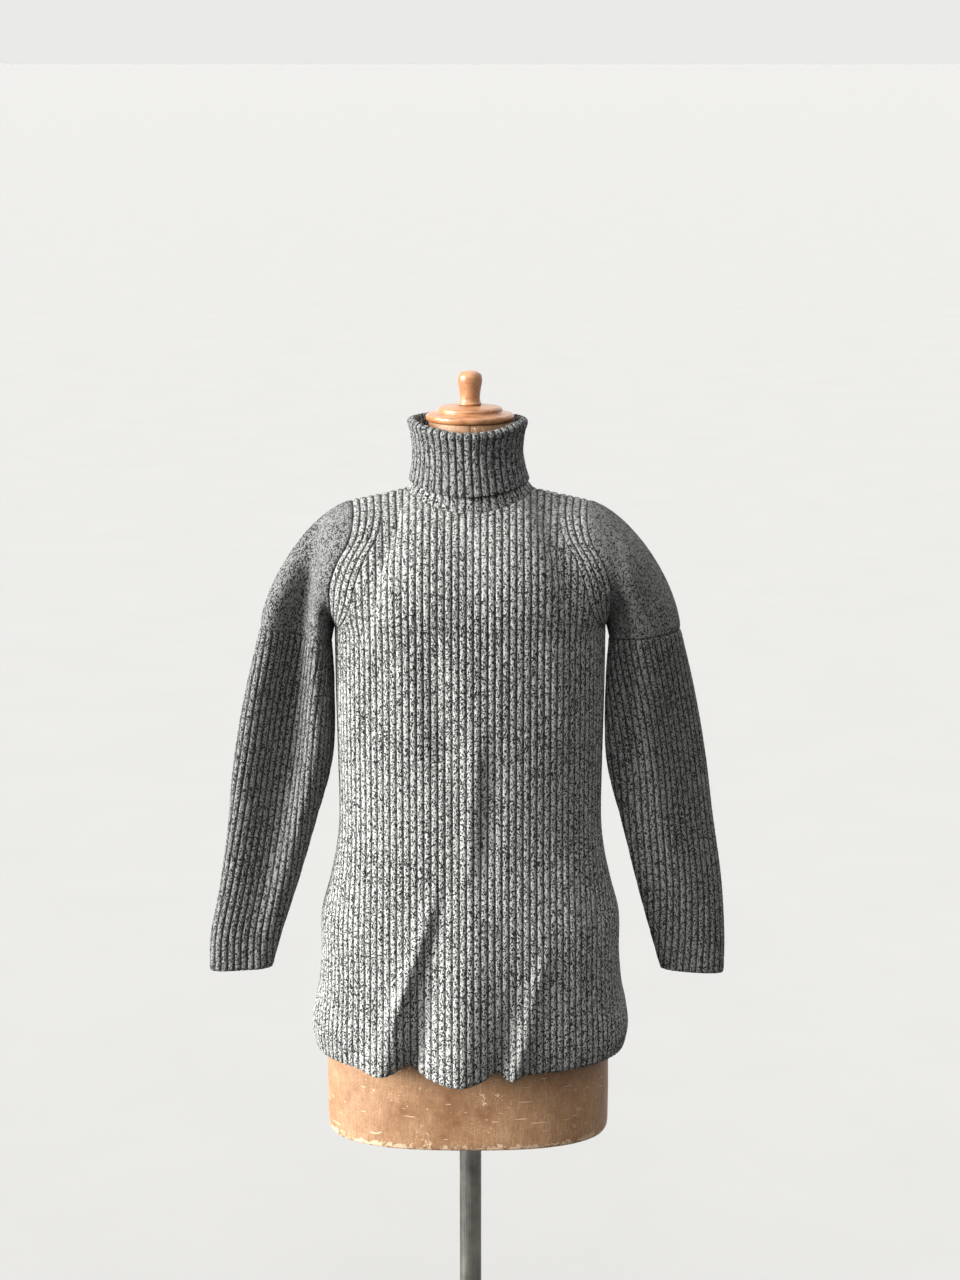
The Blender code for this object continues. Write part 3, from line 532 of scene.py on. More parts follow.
def rib_places(half):
    """Places across a row, the keys that they zip along and their rib phase."""
    step = BODY_RIB_PITCH / RIB_COLUMNS
    edge_start = half - EDGE_RIBS * BODY_RIB_PITCH
    inner = [k for k in range(int(half / step) + 1) if k * step < edge_start - 0.4 * step]
    right = [(k * step, k * step, k / RIB_COLUMNS) for k in inner]
    edge = range(EDGE_RIBS * RIB_COLUMNS, -1, -1)
    right += [(half - k * step, 10.0 - k * step, 500.5 - k / RIB_COLUMNS) for k in edge]
    left = [(-place, -key, -phase) for place, key, phase in reversed(right[1:])]
    places, keys, phases = (np.array(c) for c in zip(*(left + right)))
    return places, keys, phases


def panel_levels(side):
    """Rows of a panel and their heights, about one for each ROW_STEP of its cloth."""
    fine = np.linspace(0.0, 2.0, 401)
    length = [0.0]
    last = None
    for v in fine:
        points, width = half_row(side, v)
        marks = points[len(points) // 2], points[0]
        if last is not None:
            length.append(length[-1] + max(np.linalg.norm(a - b) for a, b in zip(marks, last)))
        last = marks
    heights = np.linspace(0.0, length[-1], int(length[-1] / ROW_STEP) + 1)
    return np.interp(heights, length, fine), heights


def make_panel(side, material):
    cloth = Cloth()
    outer, inner = [], []
    levels, heights = panel_levels(side)
    for v, height in zip(levels, heights):
        half = half_row(side, v)[1][-1]
        places, keys, phases = rib_places(half)
        normals = panel_normals(side, v, places)
        raised = rib_height(phases)
        join = np.clip((half - np.abs(places)) / (0.6 * BODY_RIB_PITCH), 0.0, 1.0)
        raised = raised - (1.0 - join) * 0.0004
        near_hem = max(0.0, 1.0 - height / ROW_STEP)
        raised = raised * (1.0 - 0.35 * near_hem) - 0.0004 * near_hem
        wave = stitch_wave(height, 0.7 * np.sin(places * 900))
        points = panel_points(side, v, places) + normals * (raised + wave)[:, None]
        outer.append(cloth.row(points, keys, phases, height))
    inner_rows = list(range(0, len(levels), INNER_EVERY))
    if inner_rows[-1] != len(levels) - 1:
        inner_rows.append(len(levels) - 1)
    for v, height in ((levels[k], heights[k]) for k in inner_rows):
        half = half_row(side, v)[1][-1]
        places, keys, phases = rib_places(half)
        keep = np.zeros(len(places), bool)
        keep[::INNER_EVERY] = True
        keep[[0, -1, len(places) // 2]] = True
        places, keys, phases = places[keep], keys[keep], phases[keep]
        normals = panel_normals(side, v, places)
        points = panel_points(side, v, places) - normals * INSIDE
        inner.append(cloth.row(points, keys, phases, height))
    cloth.skin(outer)
    cloth.skin(inner)
    for end in (0, -1):
        cloth.join(outer[end], inner[end])
        edge_out, edge_in = cloth.column(outer, end), cloth.column(inner, end)
        edge_keys = [min(float(INNER_EVERY) * k, len(outer) - 1.0) for k in range(len(inner))]
        cloth.join(edge_out, (edge_in[0], edge_keys, edge_in[2]))
    return cloth.build(side + "_panel_knit", material)


# Sleeves


def sleeve_ring(side, level, count=361):
    sizes = smooth_between(SLEEVES[side], level)
    outer_z, inner_z, outer_x, inner_x, mid_y, front, back, turn, valley = sizes
    angle = np.linspace(-pi, pi, count)
    across = np.sign(np.cos(angle)) * np.abs(np.cos(angle)) ** (2 / SLEEVE_POWER)
    round_depth = np.abs(np.sin(angle)) ** (2 / SLEEVE_POWER)
    place, reach_in, reach_out, crest = SLEEVE_FOLDS[side]
    reach = np.where(across < place, reach_in, reach_out)
    dent = valley * np.exp(-(((across - place) / reach) ** 2))
    dent = dent - crest * valley * np.exp(-(((across - CREST_PLACE) / CREST_REACH) ** 2))
    ahead = np.where(angle > 0, front * round_depth - dent * round_depth, -back * round_depth)
    half = (outer_x - inner_x) / 2
    x = (outer_x + inner_x) / 2 + half * across
    y = mid_y - ahead - half * across * sin(radians(turn))
    z = (outer_z + inner_z) / 2 + (outer_z - inner_z) / 2 * across
    mirror = -1.0 if side == "left" else 1.0
    return np.column_stack([mirror * x, y, z])


def ring_at(points, shares):
    length = path_length(points)
    return along_path(points, np.asarray(shares) * length[-1])


def tube_normals(side, around, up, flat):
    normals = np.cross(around, up) * (1.0 if side == "left" else -1.0)
    if flat:
        normals[:, 2] = 0.0
    return unit(normals)


def lower_sleeve_normals(side, level, shares, flat):
    step, rise = 0.006, 0.02
    shares = np.asarray(shares, float)
    ring = sleeve_ring(side, level)
    around = ring_at(ring, (shares + step) % 1.0) - ring_at(ring, (shares - step) % 1.0)
    last = len(SLEEVES[side]) - 1
    low = ring_at(sleeve_ring(side, min(level + rise, last)), shares)
    high = ring_at(sleeve_ring(side, max(level - rise, 0.0)), shares)
    return tube_normals(side, around, high - low, flat)


def make_sleeve_lower(side, material):
    cloth = Cloth()
    outer, inner = [], []
    rows = 130
    last = len(SLEEVES[side]) - 1
    height = 0.0
    previous = None
    step = SLEEVE_RIB_PITCH / RIB_COLUMNS
    for k in range(rows + 1):
        level = k * last / rows
        ring = sleeve_ring(side, level)
        middle = ring[len(ring) // 2]
        if previous is not None:
            height += float(np.linalg.norm(middle - previous))
        previous = middle
        length = path_length(ring)[-1]
        reach = int((length / 2 - 0.6 * step) / step)
        marks = np.arange(-reach, reach + 1)
        places = np.concatenate([[-length / 2], marks * step, [length / 2]])
        phases = places / SLEEVE_RIB_PITCH
        shares = places / length + 0.5
        normals = lower_sleeve_normals(side, level, shares, flat=k == 0)
        seam = np.clip((length / 2 - np.abs(places)) / (0.8 * SLEEVE_RIB_PITCH), 0.0, 1.0)
        raised = rib_height(phases) * seam - 0.0006 * (1.0 - seam)
        ends = max(0.0, 1.0 - k / 1.5) + 0.5 * max(0.0, 1.0 - (rows - k) / 1.5)
        raised = raised * (1.0 - ends) - 0.0007 * ends
        wave = stitch_wave(height, 0.7 * np.sin(places * 900))
        drop = np.array([0.0, 0.0, SEAM_GAP / 2 if k == 0 else 0.0])
        points = ring_at(ring, shares) + normals * (raised + wave)[:, None] - drop
        outer.append(cloth.row(points, places, phases, height, closed=True))
        if k % INNER_EVERY == 0 or k == rows:
            shares = np.linspace(0.0, 1.0, 91)
            normals = lower_sleeve_normals(side, level, shares, flat=k == 0)
            points = ring_at(ring, shares) - normals * INSIDE - drop
            places = (shares - 0.5) * length
            inner.append(cloth.row(points, places, places / SLEEVE_RIB_PITCH, height, closed=True))
    cloth.tube(outer, inner)
    return cloth.build("sleeve_lower_" + side + "_knit", material)


def armhole_ring(side, rows=24):
    mirror = -1.0 if side == "left" else 1.0
    ts = [k / rows for k in range(rows + 1)]
    points, normals = [], []
    for panel, order in (("back", ts), ("front", ts[::-1][1:])):
        for t in order:
            half = half_row(panel, 1.0 + t)[1][-1]
            point = panel_points(panel, 1.0 + t, [mirror * half])[0]
            normal = panel_normals(panel, 1.0 + t, [mirror * half])[0]
            if t in (0.0, 1.0):
                point[1], normal[1] = 0.0, 0.0
            points.append(point)
            normals.append(unit(normal))
    points, normals = np.array(points), np.array(normals)
    away = unit(np.cross(normals, ring_steps(points))) * mirror
    shares = np.array([t / 2 for t in ts] + [1 - t / 2 for t in ts[::-1][1:]])
    return points, normals, away, shares


def sleeve_head_points(side, shares, t, ring):
    mirror = -1.0 if side == "left" else 1.0
    points, normals, away, places = ring
    shares = np.asarray(shares, float)
    start = read_at(shares, places, points)
    leave = unit(read_at(shares, places, away))
    start = start + leave * SEAM_GAP
    end = ring_at(sleeve_ring(side, 0.0), shares) + np.array([0.0, 0.0, SEAM_GAP / 2])
    top = (0.5 - 0.5 * np.cos(2 * pi * shares))[:, None]
    outward = np.array([mirror, 0.0, -0.25])
    reach_start = 0.016 + HEAD_REACH[side] * top
    reach_end = 0.030 + 0.165 * top
    slope_start = unit(leave + 0.9 * np.minimum(1.0, 4 * top) * outward) * reach_start
    slope_end = np.array([mirror * 0.10, 0.0, -1.0]) * reach_end
    found = blend(t, start, slope_start, end, slope_end)
    x, z = np.abs(found[:, 0]), found[:, 2]
    middle = np.interp(z, (1.163, 1.21, 1.33), HEAD_VALLEY_X)
    reach = np.where(x < middle, HEAD_VALLEY_INNER, HEAD_VALLEY_OUTER)
    early = 1.0 - (1.0 - min(1.0, t / 0.45)) ** 2
    extra = HEAD_VALLEY[side] * max(0.0, early - (3 * t**2 - 2 * t**3))
    ahead = np.clip((-found[:, 1] + 0.002) / 0.03, 0.0, 1.0)
    found[:, 1] += extra * ahead * np.exp(-(((x - middle) / reach) ** 2))
    return found


def sleeve_head_normals(side, shares, t, ring):
    step, rise = 0.006, 0.01
    shares = np.asarray(shares, float)
    around = sleeve_head_points(side, (shares + step) % 1.0, t, ring) - sleeve_head_points(
        side, (shares - step) % 1.0, t, ring
    )
    low = sleeve_head_points(side, shares, min(t + rise, 1.0), ring)
    high = sleeve_head_points(side, shares, max(t - rise, 0.0), ring)
    return tube_normals(side, around, high - low, t >= 1.0)


def make_sleeve_upper(side, material):
    cloth = Cloth()
    ring = armhole_ring(side)
    outer, inner = [], []
    rows, columns = 60, 240
    around = path_length(sleeve_ring(side, 0.0))[-1]
    for k in range(rows + 1):
        t = k / rows
        shares = np.linspace(0.0, 1.0, columns + 1)
        points = sleeve_head_points(side, shares, t, ring)
        normals = sleeve_head_normals(side, shares, max(t, 0.004), ring)
        if k == 0:
            normals = unit(read_at(shares, ring[3], ring[1]))
        edge = max(0.0, 1.0 - k / 1.5) + max(0.0, 1.0 - (rows - k) / 1.5)
        raised = 0.0010 - 0.0012 * edge
        height = t * 0.17
        outer.append(cloth.row(points + normals * raised, shares, shares * around, height, closed=True))
        if k % INNER_EVERY == 0:
            points = (points - normals * INSIDE)[::INNER_EVERY]
            shares = shares[::INNER_EVERY]
            inner.append(cloth.row(points, shares, shares * around, height, closed=True))
    cloth.tube(outer, inner)
    return cloth.build("sleeve_upper_" + side + "_knit", material)


# Collar


def neck_seam(inside, per_rib):
    """The panels' neckline, round from centre front, shifted off them."""
    step = BODY_RIB_PITCH / per_rib
    count = round(NECK_HALF / step)
    found, turns = [], []
    for side, places, start, way in (
        ("front", [k * step for k in range(count + 1)], 0.0, 1),
        ("back", [k * step for k in range(count - 1, -count - 1, -1)], pi, -1),
        ("front", [k * step for k in range(-count + 1, 1)], 2 * pi, 1),
    ):
        turns += [start + way * asin(max(-1.0, min(1.0, place / NECK_HALF))) for place in places]
        points = panel_points(side, 2.0, places)
        normals = panel_normals(side, 2.0, places)
        sides = np.abs(np.abs(places) - NECK_HALF) < 1e-6
        points[sides, 1], normals[sides, 1] = 0.0, 0.0
        found.append(np.hstack([points, unit(normals)]))
    found = np.vstack(found)
    points, normals = found[:, :3], found[:, 3:]
    away = unit(np.cross(normals, ring_steps(points)))
    points = points + away * 0.0006 - normals * (INSIDE if inside else 0.0)
    return points, np.array(turns) / (2 * pi)


def collar_points(sizes, turn):
    half_width, front, back, front_z, side_z, back_z = sizes
    ahead = np.cos(turn) > 0
    depth = np.where(ahead, front, back)
    end_z = np.where(ahead, front_z, back_z)
    z = side_z + (end_z - side_z) * np.cos(turn) ** 2
    lean = COLLAR_LEAN * np.clip((z - 1.350) / 0.05, 0.0, 1.0)
    return np.column_stack([half_width * np.sin(turn) + lean, -depth * np.cos(turn), z])


def make_collar(material):
    cloth = Cloth()
    columns = COLLAR_RIBS * 8
    turn = np.linspace(0.0, 2 * pi, columns + 1)
    shares = turn / (2 * pi)
    phases = shares * COLLAR_RIBS
    rings, height = [], 0.0
    start, start_keys = neck_seam(False, 8)
    rows = [(None, read_at(shares, start_keys, start))]
    profile = list(COLLAR_OUT) + list(COLLAR_FOLD)
    for position in np.linspace(0.0, len(profile) - 1, 6 * (len(profile) - 1) + 1):
        rows.append((position, collar_points(smooth_between(profile, position), turn)))
    end, end_keys = neck_seam(True, 8)
    rows.append((None, read_at(shares, end_keys, end)))
    grid = np.array([points for position, points in rows])
    up = np.gradient(grid, axis=0)
    around = np.roll(grid[:, :-1], -1, axis=1) - np.roll(grid[:, :-1], 1, axis=1)
    around = np.concatenate([around, around[:, :1]], axis=1)
    normals = unit(np.cross(around, up))
    first_fold = len(COLLAR_OUT)
    for index, (position, points) in enumerate(rows):
        if index:
            height += float(np.linalg.norm(points[0] - rows[index - 1][1][0]))
        if position is None:
            share = 0.0
        elif position < 2.2:
            share = 0.85
        elif position < first_fold - 1:
            share = 0.15
        elif position < first_fold + 7:
            share = 1.0
        elif position < first_fold + 8.5:
            share = 0.5
        else:
            share = 0.0
        shape = rib_height(phases)
        wave = stitch_wave(height, 0.6 * np.sin(phases * 9))
        lean = 0.0010 * drift(turn * 0.06, np.full_like(turn, height), 5.0, 0.02)
        raised = (shape + wave) * share + lean * share
        points = points + normals[index] * raised[:, None]
        rings.append(cloth.row(points, shares, phases, height, closed=True))
    cloth.skin(rings + rings[:1])
    return cloth.build("collar_knit", material)


# Form and turned pieces


def make_form(material):
    cloth = Cloth()
    turn = np.linspace(0.0, 2 * pi, 193)
    rows, previous = [], None
    heights = sorted(set([row[0] for row in FORM] + np.arange(0.540, 1.429, 0.008).round(4).tolist()))
    table = np.array(FORM)
    for z in heights:
        i = int(np.clip(np.searchsorted(table[:, 0], z) - 1, 0, len(table) - 2))
        position = i + (z - table[i, 0]) / (table[i + 1, 0] - table[i, 0])
        if z < 0.54 or z > 1.428:
            height, half_width, front, back, power = table[i] + (table[i + 1] - table[i]) * (position - i)
        else:
            height, half_width, front, back, power = smooth_between(table, position)
            height = z
        depth = np.where(np.cos(turn) > 0, front, back)
        x = half_width * np.sign(np.sin(turn)) * np.abs(np.sin(turn)) ** (2 / power)
        y = -depth * np.sign(np.cos(turn)) * np.abs(np.cos(turn)) ** (2 / power)
        x = np.where(x < 0, x * (1.0 + FORM_SWELL * np.clip((0.74 - z) / 0.12, 0.0, 1.0)), x)
        worn = 1.0 - (0.0012 * (0.5 + 0.5 * drift(x, y + z, 8.0, 0.05)) / max(half_width, 0.05))
        split = 0.0009 * np.exp(-(((x - 0.0006 * np.sin(z * 900)) / 0.0007) ** 2)) * (y < 0) * (z > 1.395)
        points = np.column_stack([x * worn, y * worn + split, np.full_like(x, height)])
        rows.append(cloth.row(points, turn, turn / (2 * pi), height, closed=True))
    cloth.skin(rows)
    for row, z in ((rows[0], heights[0]), (rows[-1], heights[-1])):
        centre = cloth.row(np.array([[0.0, 0.0, z]]), [0.0], [0.0], z)
        cloth.join(row, centre)
    return cloth.build("form_shell", material)


def make_turned(name, profile, seat_z, material, steps=128, fine=4):
    """A turned piece: its radii at heights above its seat, smoothed along a curve."""
    cloth = Cloth()
    turn = np.linspace(0.0, 2 * pi, steps + 1)
    rows = []
    for position in np.linspace(0.0, len(profile) - 1, fine * (len(profile) - 1) + 1):
        radius, height = smooth_between(profile, position)
        z = np.full_like(turn, seat_z + height)
        ring = np.column_stack([radius * np.cos(turn), radius * np.sin(turn), z])
        rows.append(cloth.row(ring, turn, turn / (2 * pi), height, closed=True))
    cloth.skin(rows)
    for row, height in ((rows[0], profile[0][1]), (rows[-1], profile[-1][1])):
        cloth.join(row, cloth.row(np.array([[0.0, 0.0, seat_z + height]]), [0.0], [0.0], height))
    return cloth.build(name, material)


# Materials


class Nodes:
    """Short calls for the node tree of one new material."""

    def __init__(self, name):
        self.material = bpy.data.materials.new(name)
        self.material.use_nodes = True
        self.tree = self.material.node_tree
        self.shader = self.tree.nodes["Principled BSDF"]

    def add(self, kind, **values):
        node = self.tree.nodes.new(kind)
        for key, value in values.items():
            setattr(node, key, value)
        return node

    def link(self, source, target):
        self.tree.links.new(source, target)

    def object_place(self):
        return self.add("ShaderNodeTexCoord").outputs["Object"]

    def fill(self, socket, value):
        """A number, a colour or a link put into a socket."""
        if isinstance(value, (int, float)):
            socket.default_value = value
        elif isinstance(value, tuple):
            socket.default_value = (*value, 1.0)
        else:
            self.link(value, socket)

    def surface(self, **values):
        """Inputs of the shader, with _ for each space in a name."""
        for name, value in values.items():
            self.fill(self.shader.inputs[name.replace("_", " ")], value)

    def mapped(self, vector, scale, rotation=(0.0, 0.0, 0.0), location=(0.0, 0.0, 0.0)):
        node = self.add("ShaderNodeMapping")
        node.inputs["Location"].default_value = location
        node.inputs["Rotation"].default_value = rotation
        node.inputs["Scale"].default_value = scale
        self.link(vector, node.inputs["Vector"])
        return node.outputs[0]

    def smoothstep(self, value, low, high, start=0.0, end=1.0):
        node = self.add("ShaderNodeMapRange", interpolation_type="SMOOTHSTEP")
        for name, number in (("From Min", low), ("From Max", high), ("To Min", start), ("To Max", end)):
            node.inputs[name].default_value = number
        self.link(value, node.inputs["Value"])
        return node.outputs[0]

    def math(self, operation, a, b=None, c=None, clamp=False):
        node = self.add("ShaderNodeMath", operation=operation, use_clamp=clamp)
        for socket, value in zip(node.inputs, (a, b, c)):
            if value is not None:
                self.fill(socket, value)
        return node.outputs[0]

    def noise(self, vector, scale, detail=2.0, roughness=0.5, dimensions="3D"):
        node = self.add("ShaderNodeTexNoise", noise_dimensions=dimensions)
        node.inputs["Scale"].default_value = scale
        node.inputs["Detail"].default_value = detail
        node.inputs["Roughness"].default_value = roughness
        self.link(vector, node.inputs["Vector"])
        return node.outputs["Fac"]

    def cells(self, vector, scale):
        """A random value for each small cell of space."""
        node = self.add("ShaderNodeTexVoronoi", feature="F1")
        node.inputs["Scale"].default_value = scale
        self.link(vector, node.inputs["Vector"])
        split = self.add("ShaderNodeSeparateColor")
        self.link(node.outputs["Color"], split.inputs[0])
        return split.outputs[0]

    def ramp(self, factor, stops):
        node = self.add("ShaderNodeValToRGB")
        self.link(factor, node.inputs["Fac"])
        elements = node.color_ramp.elements
        while len(elements) < len(stops):
            elements.new(0.5)
        for element, (place, colour) in zip(elements, stops):
            element.position = place
            element.color = (*colour, 1.0)
        return node.outputs["Color"]

    def mix(self, factor, a, b, blend="MIX"):
        node = self.add("ShaderNodeMix", data_type="RGBA", blend_type=blend)
        for index, value in ((0, factor), (6, a), (7, b)):
            self.fill(node.inputs[index], value)
        return node.outputs[2]

    def combine(self, x, y, z=0.0):
        node = self.add("ShaderNodeCombineXYZ")
        for socket, value in zip(node.inputs, (x, y, z)):
            self.fill(socket, value)
        return node.outputs[0]

    def bump(self, height, distance, strength=1.0, under=None):
        node = self.add("ShaderNodeBump")
        node.inputs["Distance"].default_value = distance
        node.inputs["Strength"].default_value = strength
        self.link(height, node.inputs["Height"])
        if under is not None:
            self.link(under, node.inputs["Normal"])
        return node.outputs["Normal"]


def wool(name, ribbed, pitch, light, dark, sheen, band=None):
    """Marl knit: stitches in columns, each yarn loop lighter or darker, with fuzz over it; the grooves
    between the ribs and the hollows between the stitch legs are painted darker as shade.
    """
    n = Nodes(name)
    place = n.object_place()
    cut = n.add("ShaderNodeUVMap", uv_map="cut").outputs["UV"]
    split = n.add("ShaderNodeSeparateXYZ")
    n.link(cut, split.inputs[0])
    across, along = split.outputs["X"], split.outputs["Y"]
    columns = n.math("MULTIPLY", across, 1.0 if ribbed else 1.0 / pitch)
    nearest = n.math("ROUND", columns)
    side = n.math("ABSOLUTE", n.math("SUBTRACT", columns, nearest))
    leg = n.math("MULTIPLY_ADD", side, 1.1, n.math("DIVIDE", along, STITCH_HEIGHT))
    loop = n.math("SINE", n.math("MULTIPLY", leg, 2 * pi))
    cell = n.combine(n.math("FLOOR", n.math("MULTIPLY", columns, 2.0)), n.math("FLOOR", leg))
    random = n.add("ShaderNodeTexWhiteNoise", noise_dimensions="2D")
    n.link(cell, random.inputs["Vector"])
    fine = n.noise(place, 620.0, 3.0, 0.75)
    stretched = n.mapped(place, (1.0, 1.0, 0.62))
    flecks = n.cells(stretched, 840.0)
    specks = n.cells(stretched, 1500.0)
    slow = n.noise(place, 14.0, 2.0, 0.5)
    marl = n.math("MULTIPLY_ADD", flecks, 0.74, n.math("MULTIPLY", specks, 0.26))
    marl = n.math("MULTIPLY_ADD", n.math("SUBTRACT", fine, 0.5), 0.20, marl)
    marl = n.math("MULTIPLY_ADD", n.math("SUBTRACT", slow, 0.5), 0.20, marl)
    middle = tuple(0.45 * a + 0.55 * b for a, b in zip(light, dark))
    colour = n.ramp(marl, ((0.38, dark), (0.46, middle), (0.54, light)))
    if band:
        width, tone = band
        middle = tuple(0.45 * a + 0.55 * b for a, b in zip(tone, dark))
        open_tone = n.ramp(marl, ((0.39, dark), (0.46, middle), (0.53, tone)))
        colour = n.mix(n.math("LESS_THAN", along, width), colour, open_tone)
    if ribbed:
        # Painted shade: the rib grooves are painted near black, broken at random, as the shade that falls
        # in them.
        inner = n.math("ADD", side, n.math("MULTIPLY", n.math("SUBTRACT", flecks, 0.5), 0.14))
        uneven = n.math("MULTIPLY_ADD", random.outputs["Value"], -0.45, 1.0)
        groove = n.math("MULTIPLY", n.smoothstep(inner, 0.33, 0.45), uneven)
        colour = n.mix(groove, colour, tuple(0.3 * c for c in dark))
    else:
        # Painted shade: the hollows between the stitch legs are painted darker.
        legs = n.math("MULTIPLY", columns, 2.0)
        side = n.math("ABSOLUTE", n.math("SUBTRACT", legs, n.math("ROUND", legs)))
        groove = n.math("POWER", n.math("MULTIPLY", side, 2.0), 3.0)
        colour = n.mix(n.math("MULTIPLY", groove, 0.35), colour, dark)
    n.surface(Base_Color=colour, Roughness=0.92, Specular_IOR_Level=0.18)
    n.surface(Sheen_Weight=sheen, Sheen_Roughness=0.55, Sheen_Tint=(0.9, 0.9, 0.88))
    height = n.math("MULTIPLY_ADD", loop, 0.20, n.math("MULTIPLY", fine, 0.9))
    height = n.math("MULTIPLY_ADD", flecks, 0.2, height)
    height = n.math("MULTIPLY_ADD", groove, -0.5, height)
    height = n.math("MULTIPLY_ADD", n.noise(place, 1500.0, 2.0, 0.6), 0.4, height)
    n.surface(Normal=n.bump(height, 0.0016, 0.8))
    return n.material


def aged_skin():
    """The form's tan covering, with stains, pale chips and scratches."""
    n = Nodes("aged_tan_skin")
    place = n.object_place()
    blotch = n.noise(place, 14.0, 6.0, 0.72)
    tans = (
        (0.34, (0.155, 0.070, 0.026)), (0.44, (0.275, 0.148, 0.070)),
        (0.56, (0.375, 0.222, 0.116)), (0.68, (0.44, 0.285, 0.160)),
    )
    colour = n.ramp(blotch, tans)
    weave = n.noise(n.mapped(place, (260.0, 260.0, 900.0)), 1.0, 3.0, 0.7)
    drag = n.noise(n.mapped(place, (700.0, 700.0, 60.0)), 1.0, 3.0, 0.7)
    grain = n.math("MULTIPLY_ADD", drag, 0.5, n.math("MULTIPLY", weave, 0.5))
    worn = n.ramp(grain, ((0.40, (0.0, 0.0, 0.0)), (0.62, (0.75, 0.75, 0.75))))
    colour = n.mix(worn, colour, (0.17, 0.072, 0.030))
    chip_noise = n.noise(place, 110.0, 4.0, 0.8)
    patchy = n.noise(place, 16.0, 2.0, 0.6)
    axes = n.add("ShaderNodeSeparateXYZ")
    n.link(place, axes.inputs[0])
    low_edge = n.smoothstep(axes.outputs["Z"], 0.5335, 0.5425, 0.17, 0.0)
    chip_level = n.math("MULTIPLY_ADD", patchy, 0.30, n.math("ADD", chip_noise, low_edge))
    chips = n.math("GREATER_THAN", chip_level, 0.815)
    wobble = n.noise(place, 30.0, 2.0, 0.5)
    scratch_total = None
    for lean, tilt, where in ((0.45, 1.9, 0.0), (-0.30, 2.4, 3.1), (1.25, 1.7, 7.7), (-1.0, 2.1, 11.3)):
        spot = (where, where * 1.3, where * 0.7)
        lines = n.mapped(place, (16.0 * tilt, 16.0, 330.0), (0.0, lean, 0.0), spot)
        level = n.math("MULTIPLY_ADD", wobble, 0.12, n.noise(lines, 1.0, 1.0, 0.5))
        line = n.math("GREATER_THAN", level, 0.825)
        scratch_total = line if scratch_total is None else n.math("MAXIMUM", scratch_total, line)
    marks = n.math("MAXIMUM", chips, scratch_total)
    wander = n.math("SUBTRACT", wobble, 0.5)
    off_middle = n.math("ABSOLUTE", n.math("MULTIPLY_ADD", wander, 0.004, axes.outputs["X"]))
    split = n.math("LESS_THAN", off_middle, 0.0009)
    split = n.math("MULTIPLY", split, n.math("GREATER_THAN", axes.outputs["Z"], 1.36))
    split = n.math("MULTIPLY", split, n.math("LESS_THAN", axes.outputs["Y"], 0.0))
    colour = n.mix(n.math("MULTIPLY", split, 0.85), colour, (0.035, 0.016, 0.008))
    paleness = n.math("MULTIPLY", marks, n.math("MULTIPLY_ADD", grain, 0.5, 0.45))
    colour = n.mix(paleness, colour, (0.72, 0.53, 0.36))
    rough = n.math("MULTIPLY_ADD", blotch, 0.25, 0.42)
    rough = n.math("MULTIPLY_ADD", marks, 0.2, rough)
    height = n.math("MULTIPLY_ADD", grain, 0.5, n.math("MULTIPLY", blotch, 0.8))
    height = n.math("MULTIPLY_ADD", marks, -0.5, height)
    n.surface(Base_Color=colour, Roughness=rough, Normal=n.bump(height, 0.0008, 0.6))
    return n.material


def turned_wood():
    """Varnished wood with grain lines that run across the turning."""
    n = Nodes("varnished_turned_wood")
    place = n.object_place()
    streaks = n.noise(n.mapped(place, (60.0, 420.0, 420.0), (0.10, 0.14, 0.3)), 1.0, 3.0, 0.6)
    broad = n.noise(place, 55.0, 2.0, 0.5)
    mixed = n.math("MULTIPLY_ADD", broad, 0.5, n.math("MULTIPLY", streaks, 0.6))
    browns = ((0.36, (0.165, 0.058, 0.018)), (0.55, (0.33, 0.140, 0.055)), (0.74, (0.46, 0.225, 0.100)))
    n.surface(Base_Color=n.ramp(mixed, browns), Coat_Weight=0.25, Coat_Roughness=0.25)
    n.surface(Roughness=n.math("MULTIPLY_ADD", streaks, 0.25, 0.30))
    n.surface(Normal=n.bump(mixed, 0.0004, 0.5))
    return n.material


def metal(name, colour, dark, roughness, brushed):
    """Dull metal with fine marks and faint tarnish."""
    n = Nodes(name)
    place = n.object_place()
    marks = n.noise(n.mapped(place, brushed), 1.0, 3.0, 0.6)
    tarnish = n.noise(place, 24.0, 4.0, 0.6)
    mixed = n.math("MULTIPLY_ADD", marks, 0.4, n.math("MULTIPLY", tarnish, 0.6))
    n.surface(Base_Color=n.ramp(mixed, ((0.35, dark), (0.60, colour))), Metallic=0.9)
    n.surface(Roughness=n.math("MULTIPLY_ADD", mixed, 0.3, roughness))
    n.surface(Normal=n.bump(marks, 0.0002, 0.4))
    return n.material


# Studio


def make_camera():
    camera = bpy.data.cameras.new("camera")
    camera.sensor_fit = "VERTICAL"
    camera.sensor_height = SENSOR
    camera.lens = FOCAL_PIXELS / PICTURE_HEIGHT * SENSOR
    obj = show("camera", camera)
    obj.location = CAMERA_PLACE
    obj.rotation_euler = (radians(90.0 - CAMERA_PITCH), 0.0, 0.0)
    bpy.context.scene.camera = obj


def make_floor():
    mesh = bpy.data.meshes.new("floor")
    corners = [(x * FLOOR_HALF, y * FLOOR_HALF, 0) for x, y in ((-1, -1), (1, -1), (1, 1), (-1, 1))]
    mesh.from_pydata(corners, [], [(0, 1, 2, 3)])
    n = Nodes("pale_floor")
    place = n.object_place()
    speckle = n.noise(place, 3.0, 4.0, 0.6)
    colour = n.ramp(speckle, ((0.3, (0.428, 0.428, 0.423)), (0.7, (0.440, 0.440, 0.435))))
    n.surface(Base_Color=colour, Roughness=0.9, Specular_IOR_Level=0.1)
    mesh.materials.append(n.material)
    obj = show("floor", mesh)
    obj.visible_diffuse = False


def soft_sun(name, side, height, spread, strength, colour):
    light = bpy.data.lights.new(name, "SUN")
    light.energy = strength
    light.angle = radians(spread)
    light.color = colour
    obj = show(name, light)
    obj.rotation_euler = (radians(90.0 - height), 0.0, radians(-side))


